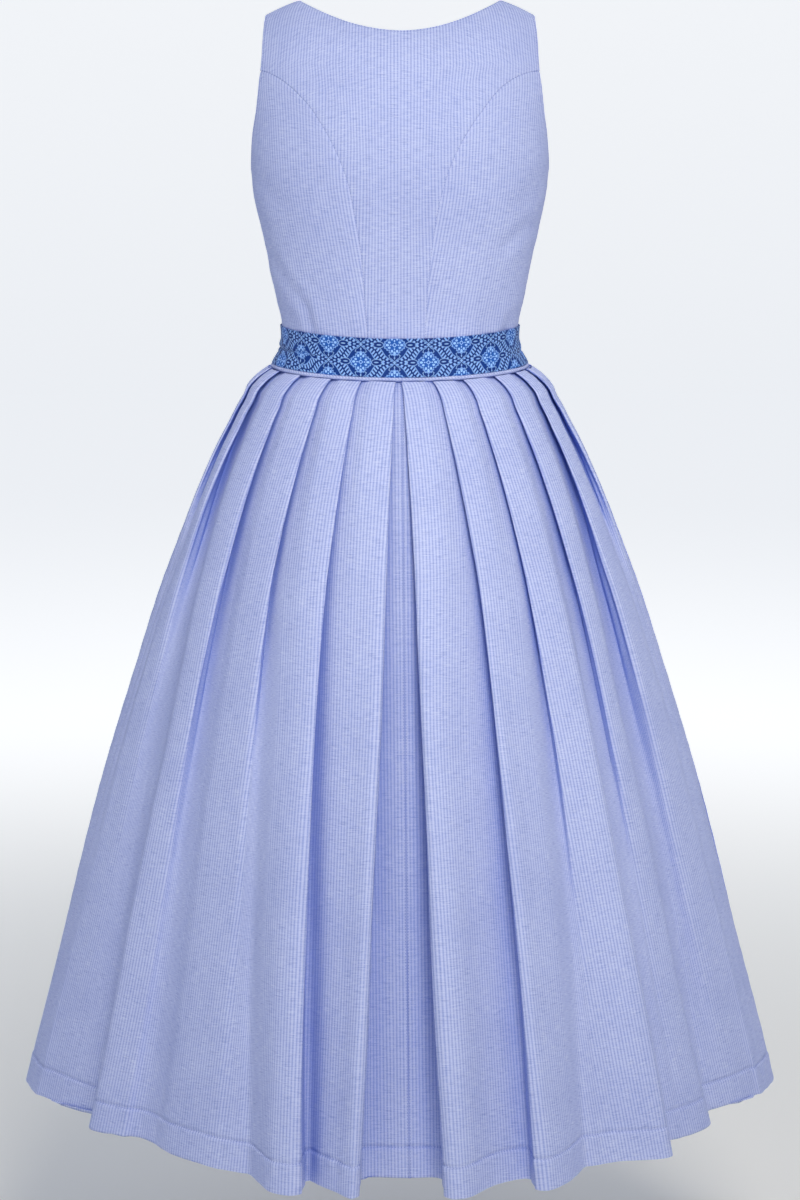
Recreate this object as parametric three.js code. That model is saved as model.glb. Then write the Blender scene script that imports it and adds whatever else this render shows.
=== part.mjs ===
import * as THREE from "three";

// A sleeveless dirndl of midi length, filled out as when it is worn. Millimetres, +Z up.
// The origin lies between the shoulders, on the line where the straps rest on them.
// The wearer faces +Y, so the back of the dress faces -Y and the wearer's left is at -X.

// Driving sizes
const WALL = 1.3; // cotton chambray with its seam allowances
const SEAM = 0.3; // gap between two sewn pieces
const SHOULDER = 9.2; // the top of the straps beside the neck
const UNDERARM = -165;
const WAIST = -360.5; // lower edge of the bodice at the side seams
const HEM = -1130;
const CENTRE_DIP = 6; // the waist seam hangs lower at the centre back and front than at the sides
const NECK_HALF = 102; // half the width of the neckline at the shoulder seam
const BACK_NECK = -20.7; // lowest point of the back neckline
const FRONT_NECK = -120; // lowest point of the front neckline
const LAP_HALF = 11; // half the width of the front lap
const LAP_LIFT = 2.3; // the upper front lies this far out over the lower one
const BELT_HEIGHT = 39;
const BELT_WALL = 1.2;
const BELT_GAP = 0.6; // between the belt and the bodice below it
const BELT_LAP = 0.2; // how far the belt's end covers its beginning, in quarters of the waist
const PIPING_HEIGHT = 3;
const PIPING_WALL = 2.2;
const PIPING_OUT = 0.6; // beyond the bodice
const PIPING_SWELL = 1; // how much further out the middle of its height lies
const PIPING_DROP = 0.9; // from the bodice's lower edge to the piping
const BUTTON_RADIUS = 5.5;
const BUTTON_HEIGHT = 2.6;
const BUTTONS = 7;
const BUTTON_FROM_NECK = 14; // from the neckline to the first button's middle
const BUTTON_FROM_BELT = 16; // from the belt to the last button's middle
const PLEAT_LAYER = 1.9; // from one layer of a pressed pleat to the next
const DEGREE = Math.PI / 180;

const colours = {
  chambray: 0x99a4e0,
  ribbon: 0x33559f,
  button: 0x8f9bd8,
};
const chambray = () =>
  new THREE.MeshStandardMaterial({ color: colours.chambray, roughness: 0.85, metalness: 0 });
const ribbon = () =>
  new THREE.MeshStandardMaterial({ color: colours.ribbon, roughness: 0.6, metalness: 0 });
const buttonPlastic = () =>
  new THREE.MeshStandardMaterial({ color: colours.button, roughness: 0.4, metalness: 0 });

// The figure inside the bodice: half width at the sides and depth of the back, level by level
const TORSO = [
  { z: -380, side: 140, back: 97, front: 99 },
  { z: -360, side: 131, back: 92, front: 94 },
  { z: -348, side: 124.5, back: 90, front: 92 },
  { z: -334, side: 121.5, back: 89.5, front: 92 },
  { z: -318, side: 122.8, back: 89.5, front: 94 },
  { z: -296, side: 127, back: 91, front: 100 },
  { z: -271, side: 132.5, back: 94, front: 110 },
  { z: -246, side: 138, back: 97.5, front: 122 },
  { z: -222, side: 142.9, back: 101, front: 129 },
  { z: -197, side: 148.3, back: 104.5, front: 128 },
  { z: -173, side: 152.2, back: 107, front: 124 },
  { z: -150, side: 153.6, back: 108, front: 119 },
  { z: -124, side: 155, back: 106.5, front: 112 },
  { z: -100, side: 156.5, back: 102, front: 103 },
  { z: -75, side: 158, back: 94, front: 93 },
  { z: -50, side: 158, back: 83.5, front: 79 },
  { z: -30, side: 157, back: 71, front: 65 },
  { z: -14, side: 156, back: 56, front: 51 },
  { z: -4, side: 155, back: 42.5, front: 39 },
  { z: 3, side: 155, back: 29, front: 27 },
  { z: 7, side: 155, back: 17.5, front: 16.5 },
  { z: SHOULDER, side: 155, back: 0, front: 0 },
];
const ROUNDNESS = 2.2; // exponent of the torso's cross-section: 2 is an ellipse

// Edge of each armhole: half width of the back and of the front piece
const ARMHOLE = [
  { z: UNDERARM, back: 153, front: 153 },
  { z: -158, back: 152.6, front: 152.4 },
  { z: -148, back: 151.8, front: 150.4 },
  { z: -124, back: 149.6, front: 145 },
  { z: -100, back: 145.8, front: 138 },
  { z: -75, back: 143, front: 134 },
  { z: -51, back: 140.8, front: 133 },
  { z: -21, back: 139.6, front: 135 },
  { z: -6, back: 138.6, front: 137.4 },
  { z: SHOULDER, back: 137, front: 137 },
];

// Seams that curve from the armhole to the waist: distance from the centre
const BACK_SEAM_TOP = -55;
const BACK_SEAM = [
  { z: -380, left: 32, right: 25 },
  { z: -321, left: 33.7, right: 26.5 },
  { z: -276, left: 37, right: 28.6 },
  { z: -248, left: 39, right: 31.5 },
  { z: -220, left: 43, right: 35.2 },
  { z: -196, left: 47.5, right: 39 },
  { z: -173, left: 52, right: 45 },
  { z: -153, left: 58.8, right: 51.5 },
  { z: -133, left: 67.8, right: 61 },
  { z: -117, left: 76.8, right: 70.3 },
  { z: -97, left: 90, right: 85 },
  { z: -81, left: 105, right: 98 },
  { z: -67, left: 121, right: 115 },
  { z: BACK_SEAM_TOP, left: 139, right: 139 },
];
const FRONT_SEAM_TOP = -75;
const FRONT_SEAM = [
  { z: -380, left: 56, right: 56 },
  { z: -320, left: 62, right: 62 },
  { z: -270, left: 71, right: 71 },
  { z: -222, left: 80, right: 80 },
  { z: -180, left: 87, right: 87 },
  { z: -140, left: 98, right: 98 },
  { z: -110, left: 111, right: 111 },
  { z: -90, left: 123, right: 123 },
  { z: FRONT_SEAM_TOP, left: 134, right: 134 },
];

// Levels at which the panels have a row of points: from the waist to where the curved seam meets
// the armhole, the same on both sides of that seam, and from there up to the shoulder
const BELT_TOP = WAIST + BELT_HEIGHT;
const BELT_ROWS = [WAIST, -348, -334, BELT_TOP];
const BACK_LOWER = [-300, -268, -235, -205, -184, UNDERARM, -146, -126, -104, -84, -68, -57.5];
const BACK_UPPER = [BACK_SEAM_TOP, -38, -20, -6, 3, 7.6, 9.1];
const FRONT_LOWER = [-300, -268, -240, -215, -190, UNDERARM, -146, -126, -106, -90, -78.5];
const FRONT_UPPER = [FRONT_SEAM_TOP, -55, -36, -18, -4, 4, 7.8, 9.1];

// The skirt's resting form, before its pleats: half width at the sides and half depth
const SKIRT = [
  { z: -364.9, side: 133.5, deep: 95.2 },
  { z: -368.5, side: 139, deep: 98.8 },
  { z: -373, side: 145.5, deep: 103.5 },
  { z: -378, side: 151, deep: 108.5 },
  { z: -385, side: 157, deep: 114.5 },
  { z: -396, side: 162, deep: 121 },
  { z: -408, side: 169, deep: 128 },
  { z: -421, side: 175.5, deep: 134 },
  { z: -446, side: 188.5, deep: 144 },
  { z: -471, side: 200, deep: 154 },
  { z: -496, side: 211, deep: 163.5 },
  { z: -547, side: 231, deep: 182 },
  { z: -598, side: 250.5, deep: 199 },
  { z: -675, side: 276, deep: 224 },
  { z: -779, side: 308, deep: 255 },
  { z: -883, side: 336.5, deep: 282 },
  { z: -989, side: 364, deep: 309 },
  { z: -1096, side: 391.5, deep: 335 },
  { z: HEM, side: 400, deep: 343 },
];
const SKIRT_LEVELS = [-364.9, -370, -378, -391, -414, -455, -520, -590, -650, -715, -830, -975, HEM];

// Pleats of each quarter of the skirt, from the centre outwards, all folded towards the centre.
// fold is its angle in degrees from the centre line at the waist, a quarter of the way down and
// at the hem. At the hem, crest and trough are how far the cloth stands out beyond the fold and
// before it, lap is how far the fold still covers the cloth before it, and the panel that follows
// passes through out at the share at of its width. step is the fold's rise half way down, opens the
// share of the skirt's length at which a fold has run out, over 1 where it reaches the hem, and soft
// how evenly the cloth before the fold falls away to it, from 0, late and steep, to 1, in one slope.
const BACK_LEFT = [
  { fold: [2, 3.3, 5.4], crest: 27, trough: -22, lap: 3, opens: 2, step: 3, at: 0.42, out: 13, soft: 0 },
  { fold: [17, 17.6, 13.5], crest: 27, trough: -8, lap: 3, opens: 2, step: 4, at: 0.28, out: 24, soft: 1 },
  { fold: [31.5, 32.5, 27], crest: -11, trough: -9, lap: -24, opens: 0.58, step: 7, at: 0.5, out: -26, soft: 1 },
  { fold: [49, 49.2, 50], crest: -27, trough: -40, lap: -16, opens: 0.68, step: 7, at: 0.3, out: -20, soft: 0.5 },
  { fold: [66.5, 70, 71], crest: -24, trough: -44, lap: -36, opens: 0.4, step: 7, at: 0.5, out: -12, soft: 0 },
  { fold: [80.5, 82, 83], crest: -4, trough: -8, lap: -16, opens: 0.25, step: 4, at: 0.5, out: -1, soft: 0.5 },
];
const BACK_RIGHT = [
  { fold: [0.5, 3.6, 6], crest: 28, trough: -22, lap: 3, opens: 2, step: 3, at: 0.24, out: 26, soft: 0 },
  { fold: [14.5, 18.8, 18.8], crest: 24, trough: -6, lap: 2, opens: 2, step: 5, at: 0.3, out: 14, soft: 0.5 },
  { fold: [28.5, 32.2, 33], crest: -12, trough: -14, lap: -24, opens: 0.76, step: 7, at: 0.52, out: 3, soft: 1 },
  { fold: [45.5, 48, 51], crest: -24, trough: -27, lap: -20, opens: 0.68, step: 7, at: 0.33, out: -26, soft: 0.3 },
  { fold: [61, 63, 72], crest: -26, trough: -48, lap: -34, opens: 0.63, step: 8, at: 0.5, out: -14, soft: 0.2 },
  { fold: [75, 80, 83], crest: -4, trough: -9, lap: -16, opens: 0.3, step: 5, at: 0.5, out: -1, soft: 0.5 },
];
const FRONT_HALF = [
  { fold: [1.5, 3.4, 5.5], crest: 24, trough: -20, lap: 3, opens: 2, step: 3, at: 0.34, out: 18, soft: 0 },
  { fold: [16, 17.5, 16.5], crest: 22, trough: -8, lap: 2, opens: 2, step: 4, at: 0.36, out: 14, soft: 0.8 },
  { fold: [30.5, 32, 31], crest: -6, trough: -14, lap: -20, opens: 0.7, step: 7, at: 0.5, out: -10, soft: 1 },
  { fold: [47, 48.5, 50], crest: -20, trough: -30, lap: -20, opens: 0.65, step: 7, at: 0.35, out: -18, soft: 0.5 },
  { fold: [64, 66.5, 70], crest: -22, trough: -38, lap: -30, opens: 0.5, step: 7, at: 0.5, out: -12, soft: 0.3 },
  { fold: [79, 81, 83], crest: -4, trough: -8, lap: -16, opens: 0.3, step: 4, at: 0.5, out: -1, soft: 0.5 },
];
const EVENLY = 0.3; // how far the rows below a neckline are spread, where 1 is evenly
const LAST_FOLD_END = 96; // degrees: the last panel runs on round the side seam
const BACK_CENTRE_SEAM = { waist: 0.7, hem: 1.4 }; // degrees to the wearer's right of the centre
const CLOSED_LAP = 18; // how far a pleat covers the cloth before it at the waist
const FOLD_ROUND = { waist: 1.2, hem: 7 }; // how far a fold's edge rounds off
const PANEL_AT = 0.58; // place of a panel's middle point, as a share of its width, at the waist
const HEM_DROP = 0.22; // how much lower the hem hangs for each millimetre that a fold stands out
const HEM_DIP = 2.5; // how much lower the hem hangs at the centre back and front than at the sides

const clamp = (x, low, high) => Math.min(high, Math.max(low, x));
const mix = (a, b, t) => a + (b - a) * t;
const smooth = (t) => {
  const x = clamp(t, 0, 1);
  return x * x * (3 - 2 * x);
};

// A smooth curve through one column of a table, without overshoot, as a function of its key column
function curveOf(table, column, key = "z") {
  const rows = [...table].sort((a, b) => a[key] - b[key]);
  const x = rows.map((row) => row[key]);
  const y = rows.map((row) => row[column]);
  const steps = x.slice(1).map((_, i) => (y[i + 1] - y[i]) / (x[i + 1] - x[i]));
  const slopes = x.map((_, i) => {
    if (i === 0) return steps[0];
    if (i === x.length - 1) return steps[i - 1];
    if (steps[i - 1] * steps[i] <= 0) return 0;
    return (2 * steps[i - 1] * steps[i]) / (steps[i - 1] + steps[i]);
  });
  return (at) => {
    const q = clamp(at, x[0], x[x.length - 1]);
    const i = clamp(x.findLastIndex((v) => v <= q), 0, x.length - 2);
    const width = x[i + 1] - x[i];
    const t = (q - x[i]) / width;
    const rise = y[i + 1] - y[i];
    const bend = width * (slopes[i] + slopes[i + 1]) - 2 * rise;
    return y[i] + t * (width * slopes[i] + t * (rise - width * slopes[i] - bend + t * bend));
  };
}

// A closed wall from two grids of points with the same rows and columns, outer and inner. Each
// quad is cut along its shorter diagonal.
function wallBetween(outer, inner) {
  const rows = outer.length;
  const columns = outer[0].length;
  const points = [...outer.flat(), ...inner.flat()];
  const index = [];
  const at = (side, j, i) => side * rows * columns + j * columns + i;
  const quad = (a, b, c, d) => index.push(a, b, c, a, c, d);
  for (let j = 0; j < rows - 1; j++)
    for (let i = 0; i < columns - 1; i++) {
      const falling = outer[j][i].distanceTo(outer[j + 1][i + 1]);
      const rising = outer[j][i + 1].distanceTo(outer[j + 1][i]);
      for (const side of [0, 1]) {
        const corners = [at(side, j, i), at(side, j, i + 1), at(side, j + 1, i + 1), at(side, j + 1, i)];
        if (falling > rising) corners.push(corners.shift());
        const [a, b, c, d] = corners;
        if (side) quad(a, d, c, b);
        else quad(a, b, c, d);
      }
    }
  for (let i = 0; i < columns - 1; i++) {
    quad(at(1, 0, i), at(1, 0, i + 1), at(0, 0, i + 1), at(0, 0, i));
    quad(at(0, rows - 1, i), at(0, rows - 1, i + 1), at(1, rows - 1, i + 1), at(1, rows - 1, i));
  }
  for (let j = 0; j < rows - 1; j++) {
    quad(at(0, j, 0), at(0, j + 1, 0), at(1, j + 1, 0), at(1, j, 0));
    const end = columns - 1;
    quad(at(1, j, end), at(1, j + 1, end), at(0, j + 1, end), at(0, j, end));
  }
  return closedSolid(points, index);
}

// Faces out, whichever way the grid ran
function closedSolid(points, index) {
  const volume = index.reduce((sum, _, i) => {
    if (i % 3) return sum;
    const [a, b, c] = [points[index[i]], points[index[i + 1]], points[index[i + 2]]];
    return sum + a.dot(b.clone().cross(c)) / 6;
  }, 0);
  if (volume < 0)
    for (let i = 0; i < index.length; i += 3)
      [index[i + 1], index[i + 2]] = [index[i + 2], index[i + 1]];
  const geometry = new THREE.BufferGeometry().setFromPoints(points);
  geometry.setIndex(index);
  geometry.computeVertexNormals();
  return geometry;
}

// Bodice

const torsoSide = curveOf(TORSO, "side");
const torsoBack = curveOf(TORSO, "back");
const torsoFront = curveOf(TORSO, "front");

// The straps slope down from the neck to the shoulder tip
function shoulderDrop(x, z) {
  const out = Math.max(0, Math.abs(x) - NECK_HALF);
  return (0.3 * out + 0.0035 * out * out) * smooth((z + 100) / (SHOULDER + 100));
}

// Each side of the bust stands a little out from the front
function bust(x, z) {
  const across = (Math.abs(x) - 78) / 48;
  const up = (z + 218) / 46;
  return 9 * Math.exp(-across * across - up * up);
}

// A point of the torso's outer surface. around is 0 at the centre back, 1 at the wearer's right
// side seam, 2 at the centre front and 3 or -1 at the left side seam.
function torsoPoint(around, z) {
  const sine = Math.sin((around * Math.PI) / 2);
  const facing = Math.cos((around * Math.PI) / 2);
  const x = torsoSide(z) * sine;
  const depth = (1 - Math.abs(sine) ** ROUNDNESS) ** (1 / ROUNDNESS);
  const y = facing > 0 ? -torsoBack(z) * depth : torsoFront(z) * depth + bust(x, z) * depth;
  return new THREE.Vector3(x, y, z - shoulderDrop(x, z));
}

function torsoNormal(around, z) {
  const step = 0.02;
  const across = torsoPoint(around + step, z).sub(torsoPoint(around - step, z));
  const top = Math.min(z + 0.5, SHOULDER);
  const up = torsoPoint(around, top).sub(torsoPoint(around, top - 1));
  return across.cross(up).normalize();
}

// Where on the ring a distance from the centre lies, on the back or on the front
function aroundAt(x, z, front) {
  const share = (Math.asin(clamp(x / torsoSide(z), -1, 1)) * 2) / Math.PI;
  return front ? 2 - share : share;
}

// The waist seam and the belt dip towards the centre back and front
const waistDip = (around, z = WAIST) =>
  CENTRE_DIP * Math.cos((around * Math.PI) / 2) ** 2 * smooth((-275 - z) / 40);

// A sewn panel of the bodice. rows and yoke are levels, columns shares of its width. from and to
// give the two long edges as places round the torso, top the level of its upper edge, lift how far
// it lies out over what is below it. The rows of the yoke are close on the straps, where the
// shoulder turns over, and even below the neckline.
function bodicePanel({ rows, yoke = [], columns, from, to, top, lift = () => 0 }) {
  const levels = [...BELT_ROWS, ...rows, ...yoke];
  const highest = levels[levels.length - 1];
  const first = levels.length - yoke.length;
  const shareOf = (level) => Math.max(0, level - BELT_TOP) / (highest - BELT_TOP);
  const tops = columns.map((share) => {
    let z = highest;
    for (let turn = 0; top && turn < 30; turn++)
      z = mix(z, top(torsoPoint(mix(from(z), to(z), share), z).x), 0.5);
    return z;
  });
  const outer = [];
  const inner = [];
  levels.forEach((level, j) => {
    const outerRow = [];
    const innerRow = [];
    columns.forEach((share, i) => {
      const even = mix(shareOf(levels[first]), 1, (j - first) / (yoke.length - 1));
      const evenly = j > first ? EVENLY * clamp((highest - tops[i]) / 40, 0, 1) : 0;
      const rise = evenly ? mix(shareOf(level), even, evenly) : shareOf(level);
      const straight = Math.min(level, BELT_TOP) + rise * (tops[i] - BELT_TOP);
      const around = mix(from(straight), to(straight), share);
      const z = straight - waistDip(around, level);
      const point = torsoPoint(around, z);
      const normal = torsoNormal(around, z);
      const out = lift(point.x, z);
      outerRow.push(point.clone().addScaledVector(normal, out));
      innerRow.push(point.clone().addScaledVector(normal, out - WALL));
    });
    outer.push(outerRow);
    inner.push(innerRow);
  });
  return wallBetween(outer, inner);
}

// Lowered from the shoulder seam at the neck to the centre along a scoop
const scoop = (lowest, power) => (x) =>
  mix(lowest, SHOULDER - 0.1, clamp(Math.abs(x) / NECK_HALF, 0, 1) ** power);

const seamBack = { left: curveOf(BACK_SEAM, "left"), right: curveOf(BACK_SEAM, "right") };
const seamFront = { left: curveOf(FRONT_SEAM, "left"), right: curveOf(FRONT_SEAM, "right") };
const armholeBack = curveOf(ARMHOLE, "back");
const armholeFront = curveOf(ARMHOLE, "front");
const HALF_SEAM = SEAM / 2;

const sideSign = { left: -1, right: 1 };

// Outer edge of the back centre or of a front: the curved seam, and above it the armhole
const centreEdge = (hand, front) => (z) => {
  const seam = (front ? seamFront : seamBack)[hand](z);
  const above = z >= (front ? FRONT_SEAM_TOP : BACK_SEAM_TOP) - 0.01;
  const x = above ? (front ? armholeFront : armholeBack)(z) : seam - HALF_SEAM;
  return aroundAt(sideSign[hand] * x, z, front);
};

const sideInner = (hand, front) => (z) =>
  aroundAt(sideSign[hand] * ((front ? seamFront : seamBack)[hand](z) + HALF_SEAM), z, front);

// Outer edge of a side panel: the side seam, and above the underarm the armhole
const sideOuter = (hand, front) => (z) => {
  const sideSeam = front ? 2 - sideSign[hand] : sideSign[hand];
  const armhole = front ? armholeFront : armholeBack;
  if (z > UNDERARM) return aroundAt(sideSign[hand] * armhole(z), z, front);
  const shift = HALF_SEAM / torsoSideArc(z);
  return sideSeam + (front ? 1 : -1) * sideSign[hand] * shift;
};

// Length of the torso's outline for one unit of around, next to the side seam
function torsoSideArc(z) {
  const step = 0.02;
  return torsoPoint(1, z).distanceTo(torsoPoint(1 - step, z)) / step;
}

// Shares of a yoke's width, with one at each neck point
function yokeColumns(from, to, perScoop, perStrap) {
  const top = SHOULDER - 0.1;
  const places = [from(top), to(top)];
  const front = Math.abs(places[0]) > 1;
  const shareOf = (x) => (aroundAt(x, top, front) - places[0]) / (places[1] - places[0]);
  const inside = (share) => share > 0.02 && share < 0.98;
  const necks = [-NECK_HALF, NECK_HALF].map(shareOf).filter(inside);
  const stops = [0, ...necks.sort((a, b) => a - b), 1];
  const columns = [0];
  stops.slice(1).forEach((stop, i) => {
    const strap = necks.length === 2 ? i !== 1 : stop === 1;
    const count = strap ? perStrap : perScoop;
    for (let k = 1; k <= count; k++) columns.push(mix(stops[i], stop, k / count));
  });
  return columns;
}

function addBodice(dress) {
  const left = centreEdge("left", false);
  const right = centreEdge("right", false);
  addPiece(dress, "bodice_back_centre", chambray(), bodicePanel({
    rows: BACK_LOWER,
    yoke: BACK_UPPER,
    columns: yokeColumns(left, right, 8, 2),
    from: left,
    to: right,
    top: scoop(BACK_NECK, 1.82),
  }));
  for (const hand of ["left", "right"]) {
    for (const front of [false, true]) {
      addPiece(dress, `bodice_side_${front ? "front" : "back"}_${hand}`, chambray(), bodicePanel({
        rows: front ? FRONT_LOWER : BACK_LOWER,
        columns: [0, 0.17, 0.34, 0.51, 0.68, 0.84, 1],
        from: sideInner(hand, front),
        to: sideOuter(hand, front),
      }));
    }
    // The wearer's right front lies over the left one.
    const upper = hand === "right";
    const from = (z) => aroundAt(-LAP_HALF * sideSign[hand], z, true);
    const to = centreEdge(hand, true);
    addPiece(dress, `bodice_front_${hand}`, chambray(), bodicePanel({
      rows: FRONT_LOWER,
      yoke: FRONT_UPPER,
      columns: [0, 0.08, 0.16, ...yokeColumns(from, to, 7, 2).slice(2)],
      from,
      to,
      top: scoop(FRONT_NECK, 2.4),
      lift: (x) => (upper ? LAP_LIFT * smooth((2.6 * LAP_HALF - x) / LAP_HALF) : 0),
    }));
  }
}

// Buttons down the centre front, on the upper front

function addButtons(dress) {
  // Shares of the radius and of the height: a plain disc with a low rim
  const profile = [
    { out: 0, up: 0 },
    { out: 0.62, up: 0 },
    { out: 0.94, up: 0.3 },
    { out: 1, up: 0.62 },
    { out: 0.86, up: 1 },
    { out: 0.6, up: 0.74 },
    { out: 0, up: 0.7 },
  ].map(({ out, up }) => new THREE.Vector2(out * BUTTON_RADIUS, up * BUTTON_HEIGHT));
  const highest = FRONT_NECK - BUTTON_FROM_NECK;
  const lowest = BELT_TOP + BUTTON_FROM_BELT;
  for (let k = 0; k < BUTTONS; k++) {
    const z = mix(highest, lowest, k / (BUTTONS - 1));
    const normal = torsoNormal(2, z);
    const place = torsoPoint(2, z).addScaledVector(normal, LAP_LIFT + BELT_GAP);
    const disc = new THREE.LatheGeometry(profile, 12);
    const button = addPiece(dress, `button_${k + 1}`, buttonPlastic(), disc);
    button.position.copy(place);
    button.quaternion.setFromUnitVectors(new THREE.Vector3(0, 1, 0), normal);
  }
}

// Belt and waist seam

// A band that lies on the bodice: places gives where its columns lie and how far out
function bandOnBodice(places, levels, wall) {
  const row = (level, extra) =>
    places.map(({ around, out }) => {
      const z = level - waistDip(around);
      const normal = torsoNormal(around, z);
      return torsoPoint(around, z).addScaledVector(normal, out + extra);
    });
  const outer = levels.map((level) => row(level, wall));
  const inner = levels.map((level) => row(level, 0));
  return wallBetween(outer, inner);
}

function addBelt(dress) {
  // Once round from the centre front, and on over its own beginning
  const columns = 50;
  const places = [];
  for (let i = 0; i <= columns; i++) {
    const around = mix(-2, 2 + BELT_LAP, i / columns);
    const overEnd = smooth((around - (2 - BELT_LAP)) / BELT_LAP);
    const overFront = LAP_LIFT * frontLap(around);
    places.push({ around, out: BELT_GAP + overFront + overEnd * (BELT_WALL + BELT_GAP) });
  }
  addPiece(dress, "belt", ribbon(), bandOnBodice(places, BELT_ROWS, BELT_WALL));
}

// 1 where the belt rides over the lapped fronts, 0 elsewhere
function frontLap(around) {
  const x = Math.abs(torsoPoint(around, WAIST).x);
  return Math.cos((around * Math.PI) / 2) < 0 ? smooth((3.4 * LAP_HALF - x) / LAP_HALF) : 0;
}

function addPiping(dress) {
  const columns = 48;
  const places = Array.from({ length: columns + 1 }, (_, i) => mix(-1.998, 1.998, i / columns));
  const corner = (around, out, below) => {
    const z = WAIST - waistDip(around);
    const point = torsoPoint(around, z);
    const level = torsoNormal(around, z).setZ(0).normalize();
    return point.addScaledVector(level, out).setZ(z - PIPING_DROP - below);
  };
  const row = (out, below) => places.map((around) => corner(around, out, below));
  const outer = [
    row(PIPING_OUT, PIPING_HEIGHT),
    row(PIPING_OUT + PIPING_SWELL, PIPING_HEIGHT / 2),
    row(PIPING_OUT, 0),
  ];
  const inner = [PIPING_HEIGHT, PIPING_HEIGHT / 2, 0].map((below) => row(PIPING_OUT - PIPING_WALL, below));
  addPiece(dress, "waist_piping", chambray(), wallBetween(outer, inner));
}

// Skirt

const skirtSide = curveOf(SKIRT, "side");
const skirtDeep = curveOf(SKIRT, "deep");
const SKIRT_TOP = SKIRT_LEVELS[0];

// A point of the skirt's resting form. sx is -1 on the wearer's left, sy -1 on the back.
function skirtForm(angle, z, sx, sy) {
  return new THREE.Vector3(
    sx * skirtSide(z) * Math.sin(angle * DEGREE),
    sy * skirtDeep(z) * Math.cos(angle * DEGREE),
    z,
  );
}

function skirtPoint({ angle, out }, z, sx, sy) {
  const point = skirtForm(angle, z, sx, sy);
  const across = skirtForm(angle + 0.5, z, sx, sy).sub(skirtForm(angle - 0.5, z, sx, sy));
  const high = Math.min(z + 2, SKIRT_TOP);
  const up = skirtForm(angle, high, sx, sy).sub(skirtForm(angle, high - 4, sx, sy));
  const normal = across.cross(up).normalize();
  if (normal.x * point.x + normal.y * point.y < 0) normal.negate();
  point.addScaledVector(z === SKIRT_TOP ? levelled(normal) : normal, out);
  const atWaist = 1 - smooth((SKIRT_TOP - z) / 200);
  const atHem = smooth((SKIRT_TOP - z) / (SKIRT_TOP - HEM)) ** 2;
  const facing = Math.cos(angle * DEGREE) ** 2;
  point.z -= (CENTRE_DIP * atWaist + HEM_DIP * atHem) * facing + HEM_DROP * out * atHem;
  return point;
}

// Lies level, and reaches through the same thickness of cloth
const levelled = (normal) => normal.clone().setZ(0).divideScalar(normal.x ** 2 + normal.y ** 2);

// The cloth's path across a quarter of the skirt at one level: for each pleat the cloth before the
// fold, the hidden fold below it, the visible fold's edge, and the middle of the panel after it
function pleatPath(pleats, centre, z, sx, sy) {
  const down = (SKIRT_TOP - z) / (SKIRT_TOP - HEM);
  const arc = skirtForm(0.5, z, sx, sy).distanceTo(skirtForm(-0.5, z, sx, sy));
  const sideArc = skirtForm(90, z, sx, sy).distanceTo(skirtForm(89, z, sx, sy));
  const arcAt = (angle) =>
    Math.hypot(arc * Math.cos(angle * DEGREE), sideArc * Math.sin(angle * DEGREE));
  const spread = (smooth(down) + down) / 2;
  const folds = pleats.map(({ fold }) => foldAngle(fold, down));
  const layer = PLEAT_LAYER;
  const start = mix(centre.waist, centre.hem, down);
  const path = [{ angle: start, out: mix(-layer, pleats[0].trough, spread) }];
  pleats.forEach((pleat, k) => {
    const fold = folds[k];
    const last = k === pleats.length - 1;
    const next = last ? LAST_FOLD_END : folds[k + 1];
    const scale = arcAt(fold);
    const lap = lapAt(pleat, Math.min(CLOSED_LAP, 0.5 * Math.min(next - fold, 14) * scale), down);
    const rise = pleat.step * Math.sin(Math.PI * Math.min(1, down / Math.min(1, pleat.opens)));
    const crest = mix(layer, pleat.crest, spread) + 0.45 * rise;
    const trough = mix(-layer, pleat.trough, spread) - 0.55 * rise;
    const round = mix(FOLD_ROUND.waist, FOLD_ROUND.hem, down);
    const tuck = lap > 0 ? Math.min(round, lap / 2) : Math.max(-round, lap * 0.35);
    const edge = Math.max(Math.min(layer / 2, (crest - trough) / 4), (crest - trough) / 7);
    const at = (mm, out) => path.push({ angle: fold + mm / scale, out });
    const before = path[path.length - 1];
    const panel = (before.angle - fold) * scale;
    const opening = smooth(down * 2.5);
    const slope = 0.5 * pleat.soft * opening;
    if (k) at(mix(-4, (panel + lap - round) / 2, opening), mix(trough, before.out, slope));
    at(lap - round, trough);
    at(lap, trough + edge);
    at(lap - tuck, trough + 2 * edge);
    at(tuck, crest - 2 * edge);
    at(0, crest - edge);
    at(round, crest);
    const share = mix(PANEL_AT, pleat.at, smooth(down * 2));
    path.push({
      angle: mix(fold, last ? 90 : next, share),
      out: mix(layer * 0.9, pleat.out, spread),
    });
  });
  const sideGap = HALF_SEAM / sideArc;
  path.push({ angle: 90 - sideGap, out: mix(layer * 0.7, 0, spread) });
  return path;
}

// How far a fold covers the cloth before it: below 0 it has opened, and the cloth runs on
function lapAt({ opens, lap }, closed, down) {
  if (opens > 1) return mix(closed, lap, down);
  const open = clamp(down / opens, 0, 1);
  const past = clamp((down - opens) / (1 - opens), 0, 1);
  return mix(closed * (1 - 1.5 * open), lap, past);
}

// The fold's angle, which moves most below the waist
function foldAngle([waist, quarter, hem], down) {
  const first = 0.25;
  if (down < first) return mix(waist, quarter, Math.sqrt(down / first));
  return mix(quarter, hem, (down - first) / (1 - first));
}

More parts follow.
